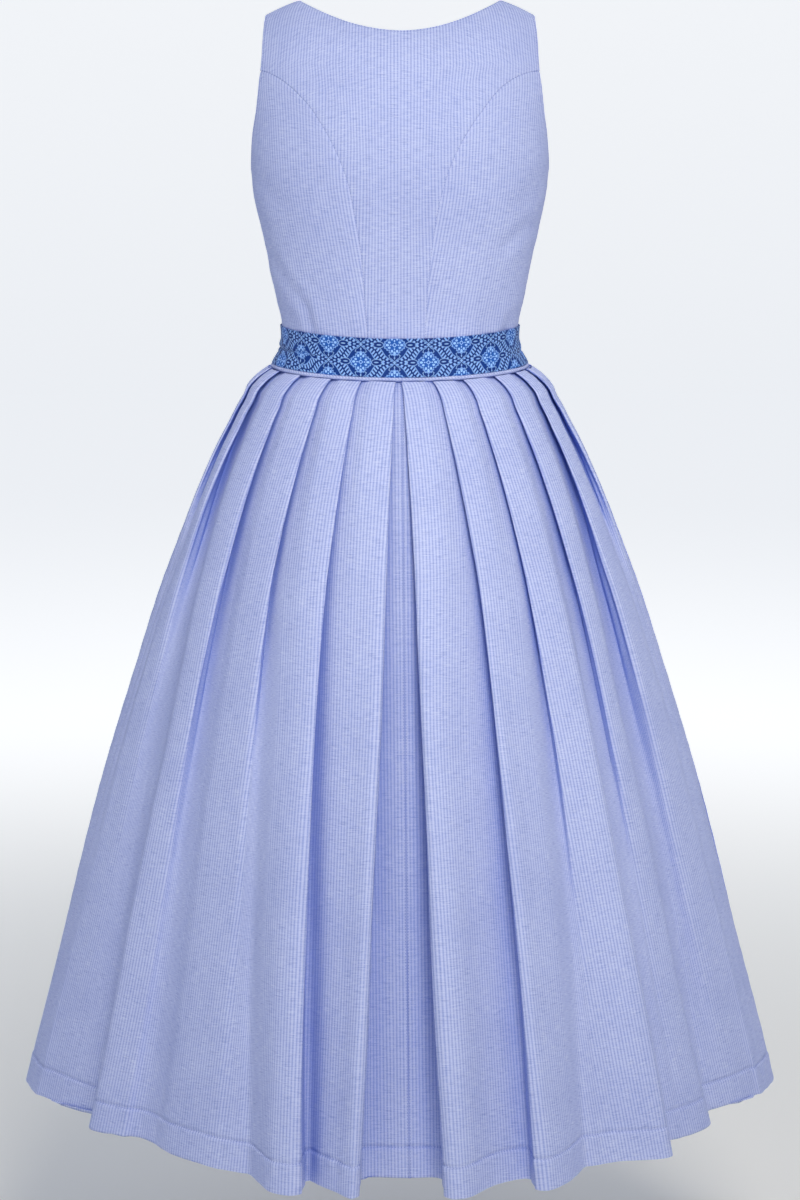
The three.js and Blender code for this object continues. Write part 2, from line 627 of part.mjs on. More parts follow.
function skirtQuarter(pleats, centre, sx, sy) {
  const middle = SKIRT_LEVELS.map((z) =>
    pleatPath(pleats, centre, z, sx, sy).map((place) => skirtPoint(place, z, sx, sy)),
  );
  const grow = (side) =>
    middle.map((row, j) =>
      row.map((point, i) => {
        const across = row[Math.min(i + 1, row.length - 1)].clone().sub(row[Math.max(i - 1, 0)]);
        const upper = middle[Math.max(j - 1, 0)][i];
        const lower = middle[Math.min(j + 1, middle.length - 1)][i];
        const normal = across.cross(lower.clone().sub(upper)).normalize();
        return point.clone().addScaledVector(j ? normal : levelled(normal), (side * WALL) / 2);
      }),
    );
  return wallBetween(grow(1), grow(-1));
}

function addSkirt(dress) {
  const gap = HALF_SEAM / 2; // degrees: half the seam gap at the waist
  const { waist, hem } = BACK_CENTRE_SEAM;
  const seamOn = (side) => ({ waist: side * waist + gap, hem: side * hem + gap });
  const front = { waist: gap, hem: gap };
  const quarters = [
    ["skirt_back_left", BACK_LEFT, seamOn(-1), -1, -1],
    ["skirt_back_right", BACK_RIGHT, seamOn(1), 1, -1],
    ["skirt_front_left", FRONT_HALF, front, -1, 1],
    ["skirt_front_right", FRONT_HALF, front, 1, 1],
  ];
  for (const [name, pleats, centre, sx, sy] of quarters)
    addPiece(dress, name, chambray(), skirtQuarter(pleats, centre, sx, sy));
}

function addPiece(group, name, material, geometry) {
  const piece = new THREE.Mesh(geometry, material);
  piece.name = name;
  group.add(piece);
  return piece;
}

const dirndl = new THREE.Group();
addBodice(dirndl);
addButtons(dirndl);
addBelt(dirndl);
addPiping(dirndl);
addSkirt(dirndl);

export default dirndl;
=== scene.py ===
import math

import bpy
import numpy as np
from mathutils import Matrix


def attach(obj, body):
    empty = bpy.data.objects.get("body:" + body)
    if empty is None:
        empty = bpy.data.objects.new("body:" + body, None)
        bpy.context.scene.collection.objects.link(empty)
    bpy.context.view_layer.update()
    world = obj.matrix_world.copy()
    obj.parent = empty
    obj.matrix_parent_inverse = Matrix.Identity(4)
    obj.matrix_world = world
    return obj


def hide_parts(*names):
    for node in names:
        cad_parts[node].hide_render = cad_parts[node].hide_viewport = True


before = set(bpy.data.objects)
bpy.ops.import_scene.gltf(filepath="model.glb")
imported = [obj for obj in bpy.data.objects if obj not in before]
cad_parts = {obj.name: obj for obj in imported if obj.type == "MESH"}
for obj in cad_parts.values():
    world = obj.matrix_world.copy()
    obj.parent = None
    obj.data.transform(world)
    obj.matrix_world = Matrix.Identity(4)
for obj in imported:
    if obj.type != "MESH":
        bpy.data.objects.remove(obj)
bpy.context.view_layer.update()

# A sleeveless midi dirndl, seen from the back. Sizes are in millimetres until a mesh is made.

# Sizes of the form, as in the solids
THICK = 1.0  # the cloth as it is drawn, round the middle of the solids' wall
WALL = 1.3
SHOULDER = 9.2
UNDERARM = -165
WAIST = -360.5
HEM = -1130
CENTRE_DIP = 6
NECK_HALF = 102
BACK_NECK = -20.7
FRONT_NECK = -120
LAP_HALF = 11
LAP_LIFT = 2.3
BELT_HEIGHT = 39
BELT_TOP = WAIST + BELT_HEIGHT
BELT_WALL = 1.2
BELT_GAP = 0.6
BELT_LAP = 0.2
PIPING_HEIGHT = 3
PIPING_OUT = 0.6
PIPING_DROP = 0.9
PIPING_ROUND = (1.75, 2.2)
PIPING_SIDES = 12
PIPING_TURN = 1.5
PIPING_BIAS = 0.6
BUTTON_RADIUS = 5.5
BUTTON_HEIGHT = 2.6
BUTTONS = 7
FIRST_BUTTON, LAST_BUTTON = FRONT_NECK - 14, BELT_TOP + 16
# Radius and height, of the button's own or in millimetres
BUTTON_PROFILE = ((0.62, 0), (0.9, 0.16), (0.99, 0.42), (1, 0.66), (0.95, 0.88), (0.87, 1),
                  (0.78, 0.97), (0.7, 0.8), (0.6, 0.7), (0.3, 0.67))
HOLE_PROFILE = ((0.62, 0.64), (0.62, 0.72), (0.3, 0.73))
HOLE_AT = 1.15
THREAD_PROFILE = ((0.2, -1.3), (0.42, -1.0), (0.42, 1.0), (0.2, 1.3))
BAR_HALF, BAR_ROW, BAR_SINK = 9.5, 0.7, 0.55
PLEAT_LAYER = 1.9
CLOSED_LAP = 18
FOLD_ROUND = (1.2, 7)
PANEL_AT = 0.58
HEM_DROP = 0.22
HEM_DIP = 2.5
LAST_FOLD_END = 96
HALF_SEAM = 0.03
STRIPE = 3.35  # from one woven stripe to the next
HEM_TURN = 29.5  # height of the turned hem
DEGREE = math.pi / 180

# Columns of each mesh across a panel of the bodice, and rows and columns of the belt
BACK_COLUMNS, SIDE_COLUMNS, FRONT_COLUMNS = 97, 45, 65
BELT_ROWS, BELT_COLUMNS = 40, 520
BELT_HIDDEN = 9

# Distance of the stitches from the edge or seam beside them, and the thread's own form
EDGE_STITCH, SEAM_STITCH, CENTRE_STITCH = 2.4, 0.9, 1.3
PLACKET_STITCHES = (2.5, 20.5)
STITCH_SINK, STITCH_TOP, STITCH_UNDER = 0.25, 0.2, 0.3

# Depth and width of the dents along seams, edges, the hem and the belt
SEAM_GROOVE, SEAM_HOLLOW, EDGE_ROLL = (0.55, 1.1), (0.3, 6), (0.5, 1.6)
CENTRE_GROOVE, CENTRE_HOLLOW, HEM_GROOVE = (0.2, 1.2), (0.3, 7), (1.3, 1.4)
BELT_TUCK, BELT_ROLL, BELT_LOW_TUCK = (1.5, 1.5), (0.7, 3.5), (0.6, 1.6)
BELT_RIGHT_TUCK, BELT_RIGHT_ROLL = (1.0, 1.8), (0.5, 4)

# Height of the small waves and puckers
BODICE_SLACK, WAIST_RIPPLE, SEAM_PUCKER = 0.45, 0.35, 0.16
SKIRT_SLACK = (0.3, 1.3)  # at the waist, and how much more at the hem
SKIRT_RIPPLE, CENTRE_PUCKER, HEM_PUCKER = 0.3, 0.25, 0.5
BELT_WAVE = 0.25

# z, half width at the sides, depth of the back, depth of the front
TORSO = np.array([
    (-380, 140, 97, 99), (-360, 131, 92, 94), (-348, 124.5, 90, 92), (-334, 121.5, 89.5, 92),
    (-318, 122.8, 89.5, 94), (-296, 127, 91, 100), (-271, 132.5, 94, 110), (-246, 138, 97.5, 122),
    (-222, 142.9, 101, 129), (-197, 148.3, 104.5, 128), (-173, 152.2, 107, 124),
    (-150, 153.6, 108, 119),
    (-124, 155, 106.5, 112), (-100, 156.5, 102, 103), (-75, 158, 94, 93), (-50, 158, 83.5, 79),
    (-30, 157, 71, 65), (-14, 156, 56, 51), (-4, 155, 42.5, 39), (3, 155, 29, 27),
    (7, 155, 17.5, 16.5), (SHOULDER, 155, 0, 0)])
ROUNDNESS = 2.2
# z, half width of the back at the armhole, half width of the front
ARMHOLE = np.array([
    (UNDERARM, 153, 153), (-158, 152.6, 152.4), (-148, 151.8, 150.4), (-124, 149.6, 145),
    (-100, 145.8, 138), (-75, 143, 134), (-51, 140.8, 133), (-21, 139.6, 135), (-6, 138.6, 137.4),
    (SHOULDER, 137, 137)])
# z, distance of the curved seam from the centre on the left, on the right
BACK_SEAM_TOP = -55
BACK_SEAM = np.array([
    (-380, 32, 25), (-321, 33.7, 26.5), (-276, 37, 28.6), (-248, 39, 31.5), (-220, 43, 35.2),
    (-196, 47.5, 39), (-173, 52, 45), (-153, 58.8, 51.5), (-133, 67.8, 61), (-117, 76.8, 70.3),
    (-97, 90, 85), (-81, 105, 98), (-67, 121, 115), (BACK_SEAM_TOP, 139, 139)])
FRONT_SEAM_TOP = -75
FRONT_SEAM = np.array([
    (-380, 56, 56), (-320, 62, 62), (-270, 71, 71), (-222, 80, 80), (-180, 87, 87), (-140, 98, 98),
    (-110, 111, 111), (-90, 123, 123), (FRONT_SEAM_TOP, 134, 134)])
SEAM_TOPS = (BACK_SEAM_TOP, FRONT_SEAM_TOP)
TOP_STEP = 0.4  # from a curved seam's end to the side panel's top
PANEL_TOP = 9.1  # of the centre panels, just short of the shoulder seam
BACK_SCOOP, FRONT_SCOOP = 1.82, 2.4  # powers of the neckline's curves
# z, half width of the skirt's form at the sides, half depth
SKIRT = np.array([
    (-364.9, 133.5, 95.2), (-368.5, 139, 98.8), (-373, 145.5, 103.5), (-378, 151, 108.5),
    (-385, 157, 114.5), (-396, 162, 121), (-408, 169, 128), (-421, 175.5, 134), (-446, 188.5, 144),
    (-471, 200, 154), (-496, 211, 163.5), (-547, 231, 182), (-598, 250.5, 199), (-675, 276, 224),
    (-779, 308, 255), (-883, 336.5, 282), (-989, 364, 309), (-1096, 391.5, 335), (HEM, 400, 343)])
SKIRT_TOP = -364.9
BACK_CENTRE_SEAM = (0.7, 1.4)

# Pleats from the centre outwards: the fold's angle at the waist, a quarter down and at the hem.
# Then how far its crest and trough stand out at the hem, its lap there, the share of the length
# at which the lap opens, its step, where the panel's middle is and stands out to, and how soft
# the pleat's back is.
PLEATS = {
    "back_left": [
        ((2, 3.3, 5.4), 27, -22, 3, 2, 3, 0.42, 13, 0),
        ((17, 17.6, 13.5), 27, -8, 3, 2, 4, 0.28, 24, 1),
        ((31.5, 32.5, 27), -11, -9, -24, 0.58, 7, 0.5, -26, 1),
        ((49, 49.2, 50), -27, -40, -16, 0.68, 7, 0.3, -20, 0.5),
        ((66.5, 70, 71), -24, -44, -36, 0.4, 7, 0.5, -12, 0),
        ((80.5, 82, 83), -4, -8, -16, 0.25, 4, 0.5, -1, 0.5)],
    "back_right": [
        ((0.5, 3.6, 6), 28, -22, 3, 2, 3, 0.24, 26, 0),
        ((14.5, 18.8, 18.8), 24, -6, 2, 2, 5, 0.3, 14, 0.5),
        ((28.5, 32.2, 33), -12, -14, -24, 0.76, 7, 0.52, 3, 1),
        ((45.5, 48, 51), -24, -27, -20, 0.68, 7, 0.33, -26, 0.3),
        ((61, 63, 72), -26, -48, -34, 0.63, 8, 0.5, -14, 0.2),
        ((75, 80, 83), -4, -9, -16, 0.3, 5, 0.5, -1, 0.5)],
    "front": [
        ((1.5, 3.4, 5.5), 24, -20, 3, 2, 3, 0.34, 18, 0),
        ((16, 17.5, 16.5), 22, -8, 2, 2, 4, 0.36, 14, 0.8),
        ((30.5, 32, 31), -6, -14, -20, 0.7, 7, 0.5, -10, 1),
        ((47, 48.5, 50), -20, -30, -20, 0.65, 7, 0.35, -18, 0.5),
        ((64, 66.5, 70), -22, -38, -30, 0.5, 7, 0.5, -12, 0.3),
        ((79, 81, 83), -4, -8, -16, 0.3, 4, 0.5, -1, 0.5)],
}

# Soft creases laid on the bodice: x and z of both ends, half width, height of a ridge
# or, below nought, depth of a trough
BACK_CREASES = [
    (-128, -254, -97, -297, 5.5, -2.2), (-97, -297, -89, -322, 4.5, -2.4),
    (-120, -262, -86, -316, 7, 1.2), (115, -306, 106, -330, 5, -1.6),
    (124, -285, 112, -312, 8, 1.0), (-60, -300, -52, -330, 6, -0.7), (92, -296, 84, -326, 7, -0.7),
    (-146, -170, -118, -196, 8, -0.9), (146, -168, 120, -196, 8, -0.9),
    (133, -216, 104, -236, 7, -0.9), (128, -232, 108, -252, 6, 0.7)]
FRONT_CREASES = [
    (-124, -262, -98, -304, 6, -1.8), (-98, -304, -90, -326, 5, -1.6),
    (126, -258, 100, -300, 6, -1.6), (-140, -160, -104, -186, 8, -1.0),
    (140, -162, 106, -188, 8, -1.0), (-66, -262, -48, -300, 8, -0.8),
    (64, -266, 46, -304, 8, -0.8), (12, -300, 40, -312, 6, -0.7)]


def clamp(x, low, high):
    return np.minimum(high, np.maximum(low, x))


def mix(a, b, t):
    return a + (b - a) * t


def smooth(t):
    x = clamp(t, 0, 1)
    return x * x * (3 - 2 * x)


def bump(x, width):
    return np.exp(-(x / width) ** 2)


def dent(x, shape):
    depth, width = shape
    return depth * bump(x, width)


def curve_of(table, column):
    """A smooth curve through one column of a table, without overshoot, over its first column."""
    rows = table[np.argsort(table[:, 0])]
    x, y = rows[:, 0], rows[:, column]
    steps = np.diff(y) / np.diff(x)
    slopes = np.concatenate([steps[:1], np.zeros(len(x) - 2), steps[-1:]])
    same = steps[:-1] * steps[1:] > 0
    total = np.where(same, steps[:-1] + steps[1:], 1)
    slopes[1:-1] = np.where(same, 2 * steps[:-1] * steps[1:] / total, 0)

    def curve(at):
        q = clamp(np.asarray(at, float), x[0], x[-1])
        i = clamp(np.searchsorted(x, q, side="right") - 1, 0, len(x) - 2).astype(int)
        width = x[i + 1] - x[i]
        t = (q - x[i]) / width
        rise = y[i + 1] - y[i]
        bend = width * (slopes[i] + slopes[i + 1]) - 2 * rise
        return y[i] + t * (width * slopes[i] + t * (rise - width * slopes[i] - bend + t * bend))

    return curve


torso_side, torso_back, torso_front = (curve_of(TORSO, k) for k in (1, 2, 3))
# By whether they are in front, and the seams also by hand
armholes = [curve_of(ARMHOLE, k) for k in (1, 2)]
curved_seams = [{-1: curve_of(table, 1), 1: curve_of(table, 2)}
                for table in (BACK_SEAM, FRONT_SEAM)]
skirt_side, skirt_deep = (curve_of(SKIRT, k) for k in (1, 2))


# Meshes

def unit(v):
    return v / np.maximum(np.linalg.norm(v, axis=-1, keepdims=True), 1e-9)


def grid_normals(grid):
    """Normals of a grid of points, rows upwards and columns to the side."""
    along = np.gradient(grid, axis=1)
    up = np.gradient(grid, axis=0)
    return unit(np.cross(along, up))


def arc_along(grid, axis):
    """Distance along the rows or columns of a grid from its first point."""
    steps = np.linalg.norm(np.diff(grid, axis=axis), axis=2)
    pad = [(0, 0), (0, 0)]
    pad[axis] = (1, 0)
    return np.cumsum(np.pad(steps, pad), axis=axis)


def add_object(name, data):
    thing = bpy.data.objects.new(name, data)
    bpy.context.scene.collection.objects.link(thing)
    return thing


def new_mesh(name, points, faces, materials, uv=None, per_metre=1000):
    """A smooth object from points and faces. uv gives places on its cloth in millimetres."""
    mesh = bpy.data.meshes.new(name)
    mesh.from_pydata((np.array(points) / per_metre).reshape(-1, 3).tolist(), [], faces)
    mesh.polygons.foreach_set("use_smooth", np.ones(len(faces), bool))
    if uv is not None:
        layer = mesh.uv_layers.new(name="cloth")
        layer.data.foreach_set("uv", (uv.reshape(-1, 2)[np.concatenate(faces)] / 1000).ravel())
    for material in materials:
        mesh.materials.append(material)
    mesh.update()
    return add_object(name, mesh)


def shell(name, grid, normals, uv, material, flip=False, turned=0.0):
    """A thin closed sheet round a grid, `turned` thicker on its inside, with crisp edges."""
    rows, cols = grid.shape[:2]
    count = rows * cols
    inner = THICK / 2 + np.broadcast_to(turned, (rows, cols))[..., None]
    points = np.stack([grid + normals * (THICK / 2), grid - normals * inner])
    index = np.arange(count).reshape(rows, cols)
    a, b, c, d = index[:-1, :-1], index[:-1, 1:], index[1:, 1:], index[1:, :-1]
    front = np.stack([a, b, c, d], -1).reshape(-1, 4)
    back = np.stack([a, d, c, b], -1).reshape(-1, 4) + count
    ring = np.concatenate([index[0, :-1], index[:-1, -1], index[-1, :0:-1], index[:0:-1, 0]])
    after = np.roll(ring, -1)
    rim = np.stack([after, ring, ring + count, after + count], -1)
    faces = np.concatenate([front, back, rim])
    if flip:
        faces = faces[:, ::-1]
    piece = new_mesh(name, points, faces.tolist(), [material], np.stack([uv, uv]))
    mesh = piece.data
    edges = np.empty(len(mesh.edges) * 2, np.int32)
    mesh.edges.foreach_get("vertices", edges)
    edges = edges.reshape(-1, 2)
    place = np.full(2 * count, -1)  # along the rim, for the points that are on it
    place[ring] = place[ring + count] = np.arange(len(ring))
    apart = np.abs(place[edges[:, 0]] - place[edges[:, 1]])
    same_side = (edges[:, 0] < count) == (edges[:, 1] < count)
    on_rim = (place[edges] >= 0).all(axis=1)
    crisp = on_rim & same_side & ((apart == 1) | (apart == len(ring) - 1))
    mesh.attributes.new("sharp_edge", "BOOLEAN", "EDGE").data.foreach_set("value", crisp)
    mesh.update()
    return piece


def between(at, along, points):
    """Points at distances along a line of points."""
    return np.stack([np.interp(at, along, points[:, k]) for k in range(3)], -1)


def resample(points, normals, pitch):
    """Points, normals and directions at even distances along a line."""
    along = arc_along(points[None], 1)[0]
    at = np.arange(pitch / 2, along[-1], pitch)
    centre = between(at, along, points)
    ahead = between(at + 0.4, along, points)
    return centre, unit(between(at, along, normals)), unit(ahead - centre + 1e-6)


def stitches(name, lines, material, pitch, length, width, raised):
    """Small sewn stitches along lines of points with normals, as one mesh."""
    points, faces = [], []
    for line, normals in lines:
        centre, normal, along = resample(line, normals, pitch)
        side = unit(np.cross(normal, along))
        lift = centre + normal * raised
        sunk = normal * STITCH_SINK
        ends = [lift - along * length / 2 - sunk, lift + along * length / 2 - sunk]
        ring = [lift + side * width / 2, lift + normal * STITCH_TOP,
                lift - side * width / 2, lift - normal * STITCH_UNDER]
        for block in np.stack(ends + ring, 1):
            o = len(points)
            for a in range(4):
                b = (a + 1) % 4
                faces += [(o, o + 2 + a, o + 2 + b), (o + 1, o + 2 + b, o + 2 + a)]
            points.extend(block)
    return new_mesh(name, points, faces, [material])


# Materials

def add_node(tree, kind, inputs, **settings):
    """A node with its settings, and with its inputs set, or joined to earlier nodes."""
    node = tree.nodes.new("ShaderNode" + kind)
    for name, value in settings.items():
        setattr(node, name, value)
    for key, value in inputs.items():
        value = getattr(value, "socket", value)
        if isinstance(value, bpy.types.NodeSocket):
            tree.links.new(value, node.inputs[key])
        else:
            node.inputs[key].default_value = value
    return node


class Num:
    """A number in a material's node tree, with arithmetic."""

    def __init__(self, tree, socket):
        self.tree, self.socket = tree, socket

    def op(self, name, *others):
        inputs = dict(enumerate((self, *others)))
        return Num(self.tree, add_node(self.tree, "Math", inputs, operation=name).outputs[0])

    def __add__(self, other):
        return self.op("ADD", other)

    def __sub__(self, other):
        return self.op("SUBTRACT", other)

    def __mul__(self, other):
        return self.op("MULTIPLY", other)

    def __rsub__(self, other):
        return self.op("MULTIPLY_ADD", -1.0, other)

    def __abs__(self):
        return self.op("ABSOLUTE")

    def step(self, low, high):
        """0 below low, 1 above high, smooth between; low may be the larger one."""
        ends = (high, low, 1, 0) if low > high else (low, high, 0, 1)
        inputs = dict(enumerate((self, *ends)))
        node = add_node(self.tree, "MapRange", inputs, interpolation_type="SMOOTHSTEP")
        return Num(self.tree, node.outputs[0])

    def fold(self, period):
        """Signed distance to the nearest multiple of a period."""
        turns = self * (1 / period) + 0.5
        return (turns.op("FRACT") - 0.5) * period


class Surface:
    """A material with its cloth coordinates in millimetres and helpers for its nodes."""

    def __init__(self, name):
        self.material = bpy.data.materials.new(name)
        self.material.use_nodes = True
        self.tree = self.material.node_tree
        self.shader = self.tree.nodes["Principled BSDF"]
        self.bumped = None

    def parts(self, vector):
        """The numbers of a vector."""
        parts = add_node(self.tree, "SeparateXYZ", {0: vector})
        return [Num(self.tree, part) for part in parts.outputs]

    def cloth(self):
        uv = add_node(self.tree, "UVMap", {}, uv_map="cloth")
        return [part * 1000 for part in self.parts(uv.outputs[0])[:2]]

    def noise(self, x, y, detail, offset):
        """Noise from 0 to 1 over two coordinates."""
        vector = add_node(self.tree, "CombineXYZ", {0: x, 1: y, 2: offset}).outputs[0]
        node = add_node(self.tree, "TexNoise", {"Vector": vector, "Scale": 1.0, "Detail": detail})
        return Num(self.tree, node.outputs["Fac"])

    def mix(self, factor, a, b):
        """A colour between two; each is a colour or an earlier mix."""
        return add_node(self.tree, "Mix", {0: factor, 6: a, 7: b}, data_type="RGBA").outputs[2]

    def open_sky(self, reach):
        """How much of the sky a place sees, with cloth nearer than reach: 1 in the open."""
        node = add_node(self.tree, "AmbientOcclusion", {"Distance": reach}, samples=6)
        return Num(self.tree, node.outputs["AO"])

    def height(self, value, distance, strength):
        """Adds a layer of relief."""
        inputs = {"Strength": strength, "Distance": distance, "Height": value}
        if self.bumped:
            inputs["Normal"] = self.bumped
        self.bumped = add_node(self.tree, "Bump", inputs).outputs[0]

    def finish(self, constants, colour=None):
        """Sets the shader's constants, and joins the colour and the relief to it."""
        for name, value in constants.items():
            self.shader.inputs[name].default_value = value
        if colour:
            self.tree.links.new(colour, self.shader.inputs["Base Color"])
            self.tree.links.new(self.bumped, self.shader.inputs["Normal"])
        return self.material


def srgb(*screen):
    """A colour from its 0 to 255 screen values."""
    return (*(c / 3294.6 if c < 10.3 else ((c / 255 + 0.055) / 1.055) ** 2.4 for c in screen), 1)


def wave(x, pitch):
    return (x * (2 * math.pi / pitch)).op("SINE")


def least(first, *others):
    for other in others:
        first = first.op("MINIMUM", other)
    return first


def most(first, *others):
    for other in others:
        first = first.op("MAXIMUM", other)
    return first


PALE = srgb(197, 204, 238)
PERIWINKLE = srgb(159, 170, 221)
DEEP = srgb(118, 132, 197)
WEFT = srgb(223, 227, 246)
# Painted shade: the deep blue that the cloth's colour turns to where its folds hide it from the sky
PAINTED_SHADE = srgb(88, 118, 206)
SHEEN = srgb(206, 210, 236)
WARP_PITCH, WEFT_PITCH = 0.62, 0.7
# How far, in metres, the cloth that casts the painted shade in the folds is sought
PAINTED_SHADE_REACH = 0.14  # metres
# Detail, offset and scales of the noise, its start and end, the tint's share and colour
TINTS = (
    (3.0, 11.0, 0.075, 1.3, 0.48, 0.72, 0.5, DEEP),  # dark slubs
    (2.0, 23.0, 0.09, 1.6, 0.48, 0.72, 0.5, WEFT),  # light slubs
    (3.0, 31.0, 0.012, 0.014, 0.35, 0.75, 0.12, DEEP))  # clouds


def chambray_surface():
    """Narrow woven stripes with slubs across, on a fine plain weave, and painted shade in its
    folds.
    """
    s = Surface("chambray")
    u, v = s.cloth()
    wander = s.noise(u * 0.1, v * 0.012, 1.0, 3.0) - 0.5
    uneven = s.noise(u * 0.9, v * 0.05, 2.0, 7.0) - 0.5
    stripe = (wave(u + wander * 0.8, STRIPE) + uneven * 1.3).step(-0.55, 0.75)
    base = s.mix(stripe, PALE, PERIWINKLE)
    spots = []
    for detail, offset, across, up, low, high, share, colour in TINTS:
        spots.append(s.noise(u * across, v * up, detail, offset))
        base = s.mix(spots[-1].step(low, high) * share, base, colour)
    # Painted shade: the colour darkens to a deep blue where the folds hide the cloth from the sky
    hidden = (1.0 - s.open_sky(PAINTED_SHADE_REACH)).step(0.22, 0.95)
    weave = wave(u, WARP_PITCH) * wave(v, WEFT_PITCH) * 0.5
    s.height(weave + spots[0] * 0.8 + stripe * -0.5, 0.00022, 0.55)
    s.height(s.noise(u * 0.045, v * 0.03, 3.0, 41.0), 0.0016, 0.35)
    return s.finish({
        "Roughness": 0.86, "Specular IOR Level": 0.22, "Sheen Weight": 0.1, "Sheen Roughness": 0.45,
        "Sheen Tint": SHEEN}, s.mix(hidden * 0.95, base, PAINTED_SHADE))


RIBBON_DARK = srgb(2, 42, 116)
RIBBON_MID = srgb(34, 96, 186)
RIBBON_PALE = srgb(166, 206, 255)
RIBBON_REPEAT = (68.6, 36)
RIBBON_PHASE = (28.8, 14.6)
RIB_PITCH = 0.8


def ribbon_surface():
    """A woven ribbon: a half-drop repeat of rosettes in a curved lattice of feathered leaves."""
    s = Surface("ribbon")
    u, v = s.cloth()
    wide, high = RIBBON_REPEAT
    from_u, from_v = RIBBON_PHASE
    first = (u - from_u).fold(wide), (v - from_v).fold(high)
    second = (u - (from_u + wide / 2)).fold(wide), (v - (from_v + high / 2)).fold(high)

    def reach(x, y):
        return abs(x) * (2 / wide) + abs(y) * (2 / high)

    nearer = reach(*first).op("LESS_THAN", reach(*second))
    x = abs(second[0] + (first[0] - second[0]) * nearer)
    y = abs(second[1] + (first[1] - second[1]) * nearer)
    r = (x * x + y * y).op("SQRT")
    turn = y.op("ARCTAN2", x)

    def oval(cx, cy, rx, ry):
        dx, dy = (x - cx) * (1 / rx), (y - cy) * (1 / ry)
        return (dx * dx + dy * dy).op("SQRT")

    # The lattice: leaflets on both sides of a dark vein, and a small star where two veins cross.
    edge = x * (2 / wide) + y * (2 / high)
    along = y * (2 / high) - x * (2 / wide)
    vein = edge - 1.0 - (along * math.pi).op("SINE") * 0.16
    beside = abs(vein)
    margin = beside - (along * (math.pi / 2)).op("COSINE") * 0.16 - 0.12
    from_cross = abs(abs(along) - 1.0)
    leaflets = (beside * 14.0 - vein.op("SIGN") * along * 31.0).op("SINE").step(-0.35, 0.3)
    leaves = margin.step(0.0, -0.05) * beside.step(0.025, 0.05) * leaflets
    leaves = leaves * from_cross.step(0.06, 0.2)
    outline = abs(margin).step(0.03, 0.012) * from_cross.step(0.15, 0.3) * 0.8
    star = least(*(oval(*centre, *size) for centre in ((0, high / 2), (wide / 2, 0))
                   for size in ((2.0, 0.8), (0.7, 2.0))))
    # The rosette: a scalloped rim in four lobes, with three petals in each, and a diamond.
    rim = r - abs((turn * 2.0).op("COSINE")) * 2.6 - (turn * 20.0).op("COSINE") * 0.5
    petals = least(*(oval(*petal) for petal in (
        (7.3, 0, 1.7, 1.3), (5.3, 2.7, 1.4, 1.2), (0, 8.2, 1.3, 1.8), (2.6, 6.2, 1.2, 1.5),
        (0, 4.2, 0.7, 1.1), (3.9, 0, 1.0, 0.7))))
    rosette = petals.step(1.15, 0.75) + abs(x + y - 2.0).step(0.75, 0.35)
    rosette = rosette + abs(rim - 7.7).step(0.9, 0.4) * 0.6
    inside = rim.step(8.8, 8.5)
    # Dark hearts above and below it and dark buds beside it, each in a pale line round a seed.
    hx, hy = x * (1 / 1.15), y - 12.6
    lobe = ((hx - 2.0) * (hx - 2.0) + (hy + 1.2) * (hy + 1.2)).op("SQRT") - 2.3
    point = (hx * 0.8 + hy * 0.6 - 2.55).op("MAXIMUM", -1.6 - hy)
    heart = least(lobe, point)
    bud = oval(16.5, 0, 5.2, 3.0)
    dark = least(heart.step(0.0, -0.35) + bud.step(1.0, 0.85), 1.0)
    lines = most(abs(heart - 0.35).step(0.45, 0.2), abs(bud - 1.08).step(0.16, 0.07))
    seeds = least(*(oval(*seed) for seed in (
        (0, 13.2, 0.8, 1.5), (15.8, 0, 2.6, 0.8), (21.5, 0, 1.0, 0.7))))
    around = most(most(leaves, outline) * (1.0 - dark), star.step(1.1, 0.8), lines * 0.8,
                  seeds.step(1.1, 0.7))
    outside = 1.0 - inside
    pattern = least(least(rosette, 1.0) * inside + around * outside * 0.8, 1.0)
    field = edge.step(0.3, 0.45) * margin.step(0.0, 0.05)
    gaps = margin.step(0.02, -0.02) * (1.0 - leaflets) * 0.95
    shade = least(dark + beside.step(0.07, 0.03) + field * 0.9 + gaps, 1.0) * outside
    thread = s.noise(u * 0.6, v * 3.2, 2.0, 5.0)
    speckle = s.noise(u * 1.3, v * 1.3, 2.0, 9.0)
    base = s.mix(shade * 0.95, RIBBON_MID, RIBBON_DARK)
    base = s.mix(speckle.step(0.42, 0.66) * 0.45, base, RIBBON_DARK)
    base = s.mix(pattern * (speckle.step(0.72, 0.4) * 0.4 + 0.6), base, RIBBON_PALE)
    base = s.mix(thread.step(0.5, 0.8) * 0.25, base, RIBBON_DARK)
    s.height(pattern * 1.2 + wave(v, RIB_PITCH) * 0.35 + thread * 0.5, 0.00025, 0.6)
    return s.finish({"Roughness": 0.58, "Specular IOR Level": 0.2, "Sheen Weight": 0.03,
                     "Sheen Roughness": 0.4}, base)


def plain_surface(name, colour, shade, roughness, grain):
    """A small part's finish: two close colours in a fine grain."""
    s = Surface(name)
    where = add_node(s.tree, "TexCoord", {}).outputs["Object"]
    x, y, z = (part * grain for part in s.parts(where))
    speck = s.noise(x, z + y, 3.0, 1.0)
    s.height(speck, 0.0001, 0.3)
    return s.finish({"Roughness": roughness, "Specular IOR Level": 0.4},
                    s.mix(speck.step(0.3, 0.7), colour, shade))


CHAMBRAY = chambray_surface()
RIBBON = ribbon_surface()
THREAD = plain_surface("thread", srgb(112, 126, 194), srgb(134, 146, 206), 0.7, 900)
THREAD_PALE = plain_surface("thread_pale", srgb(208, 215, 245), srgb(190, 199, 236), 0.7, 900)
BUTTON = plain_surface("button_resin", srgb(150, 162, 226), srgb(134, 148, 214), 0.32, 160)
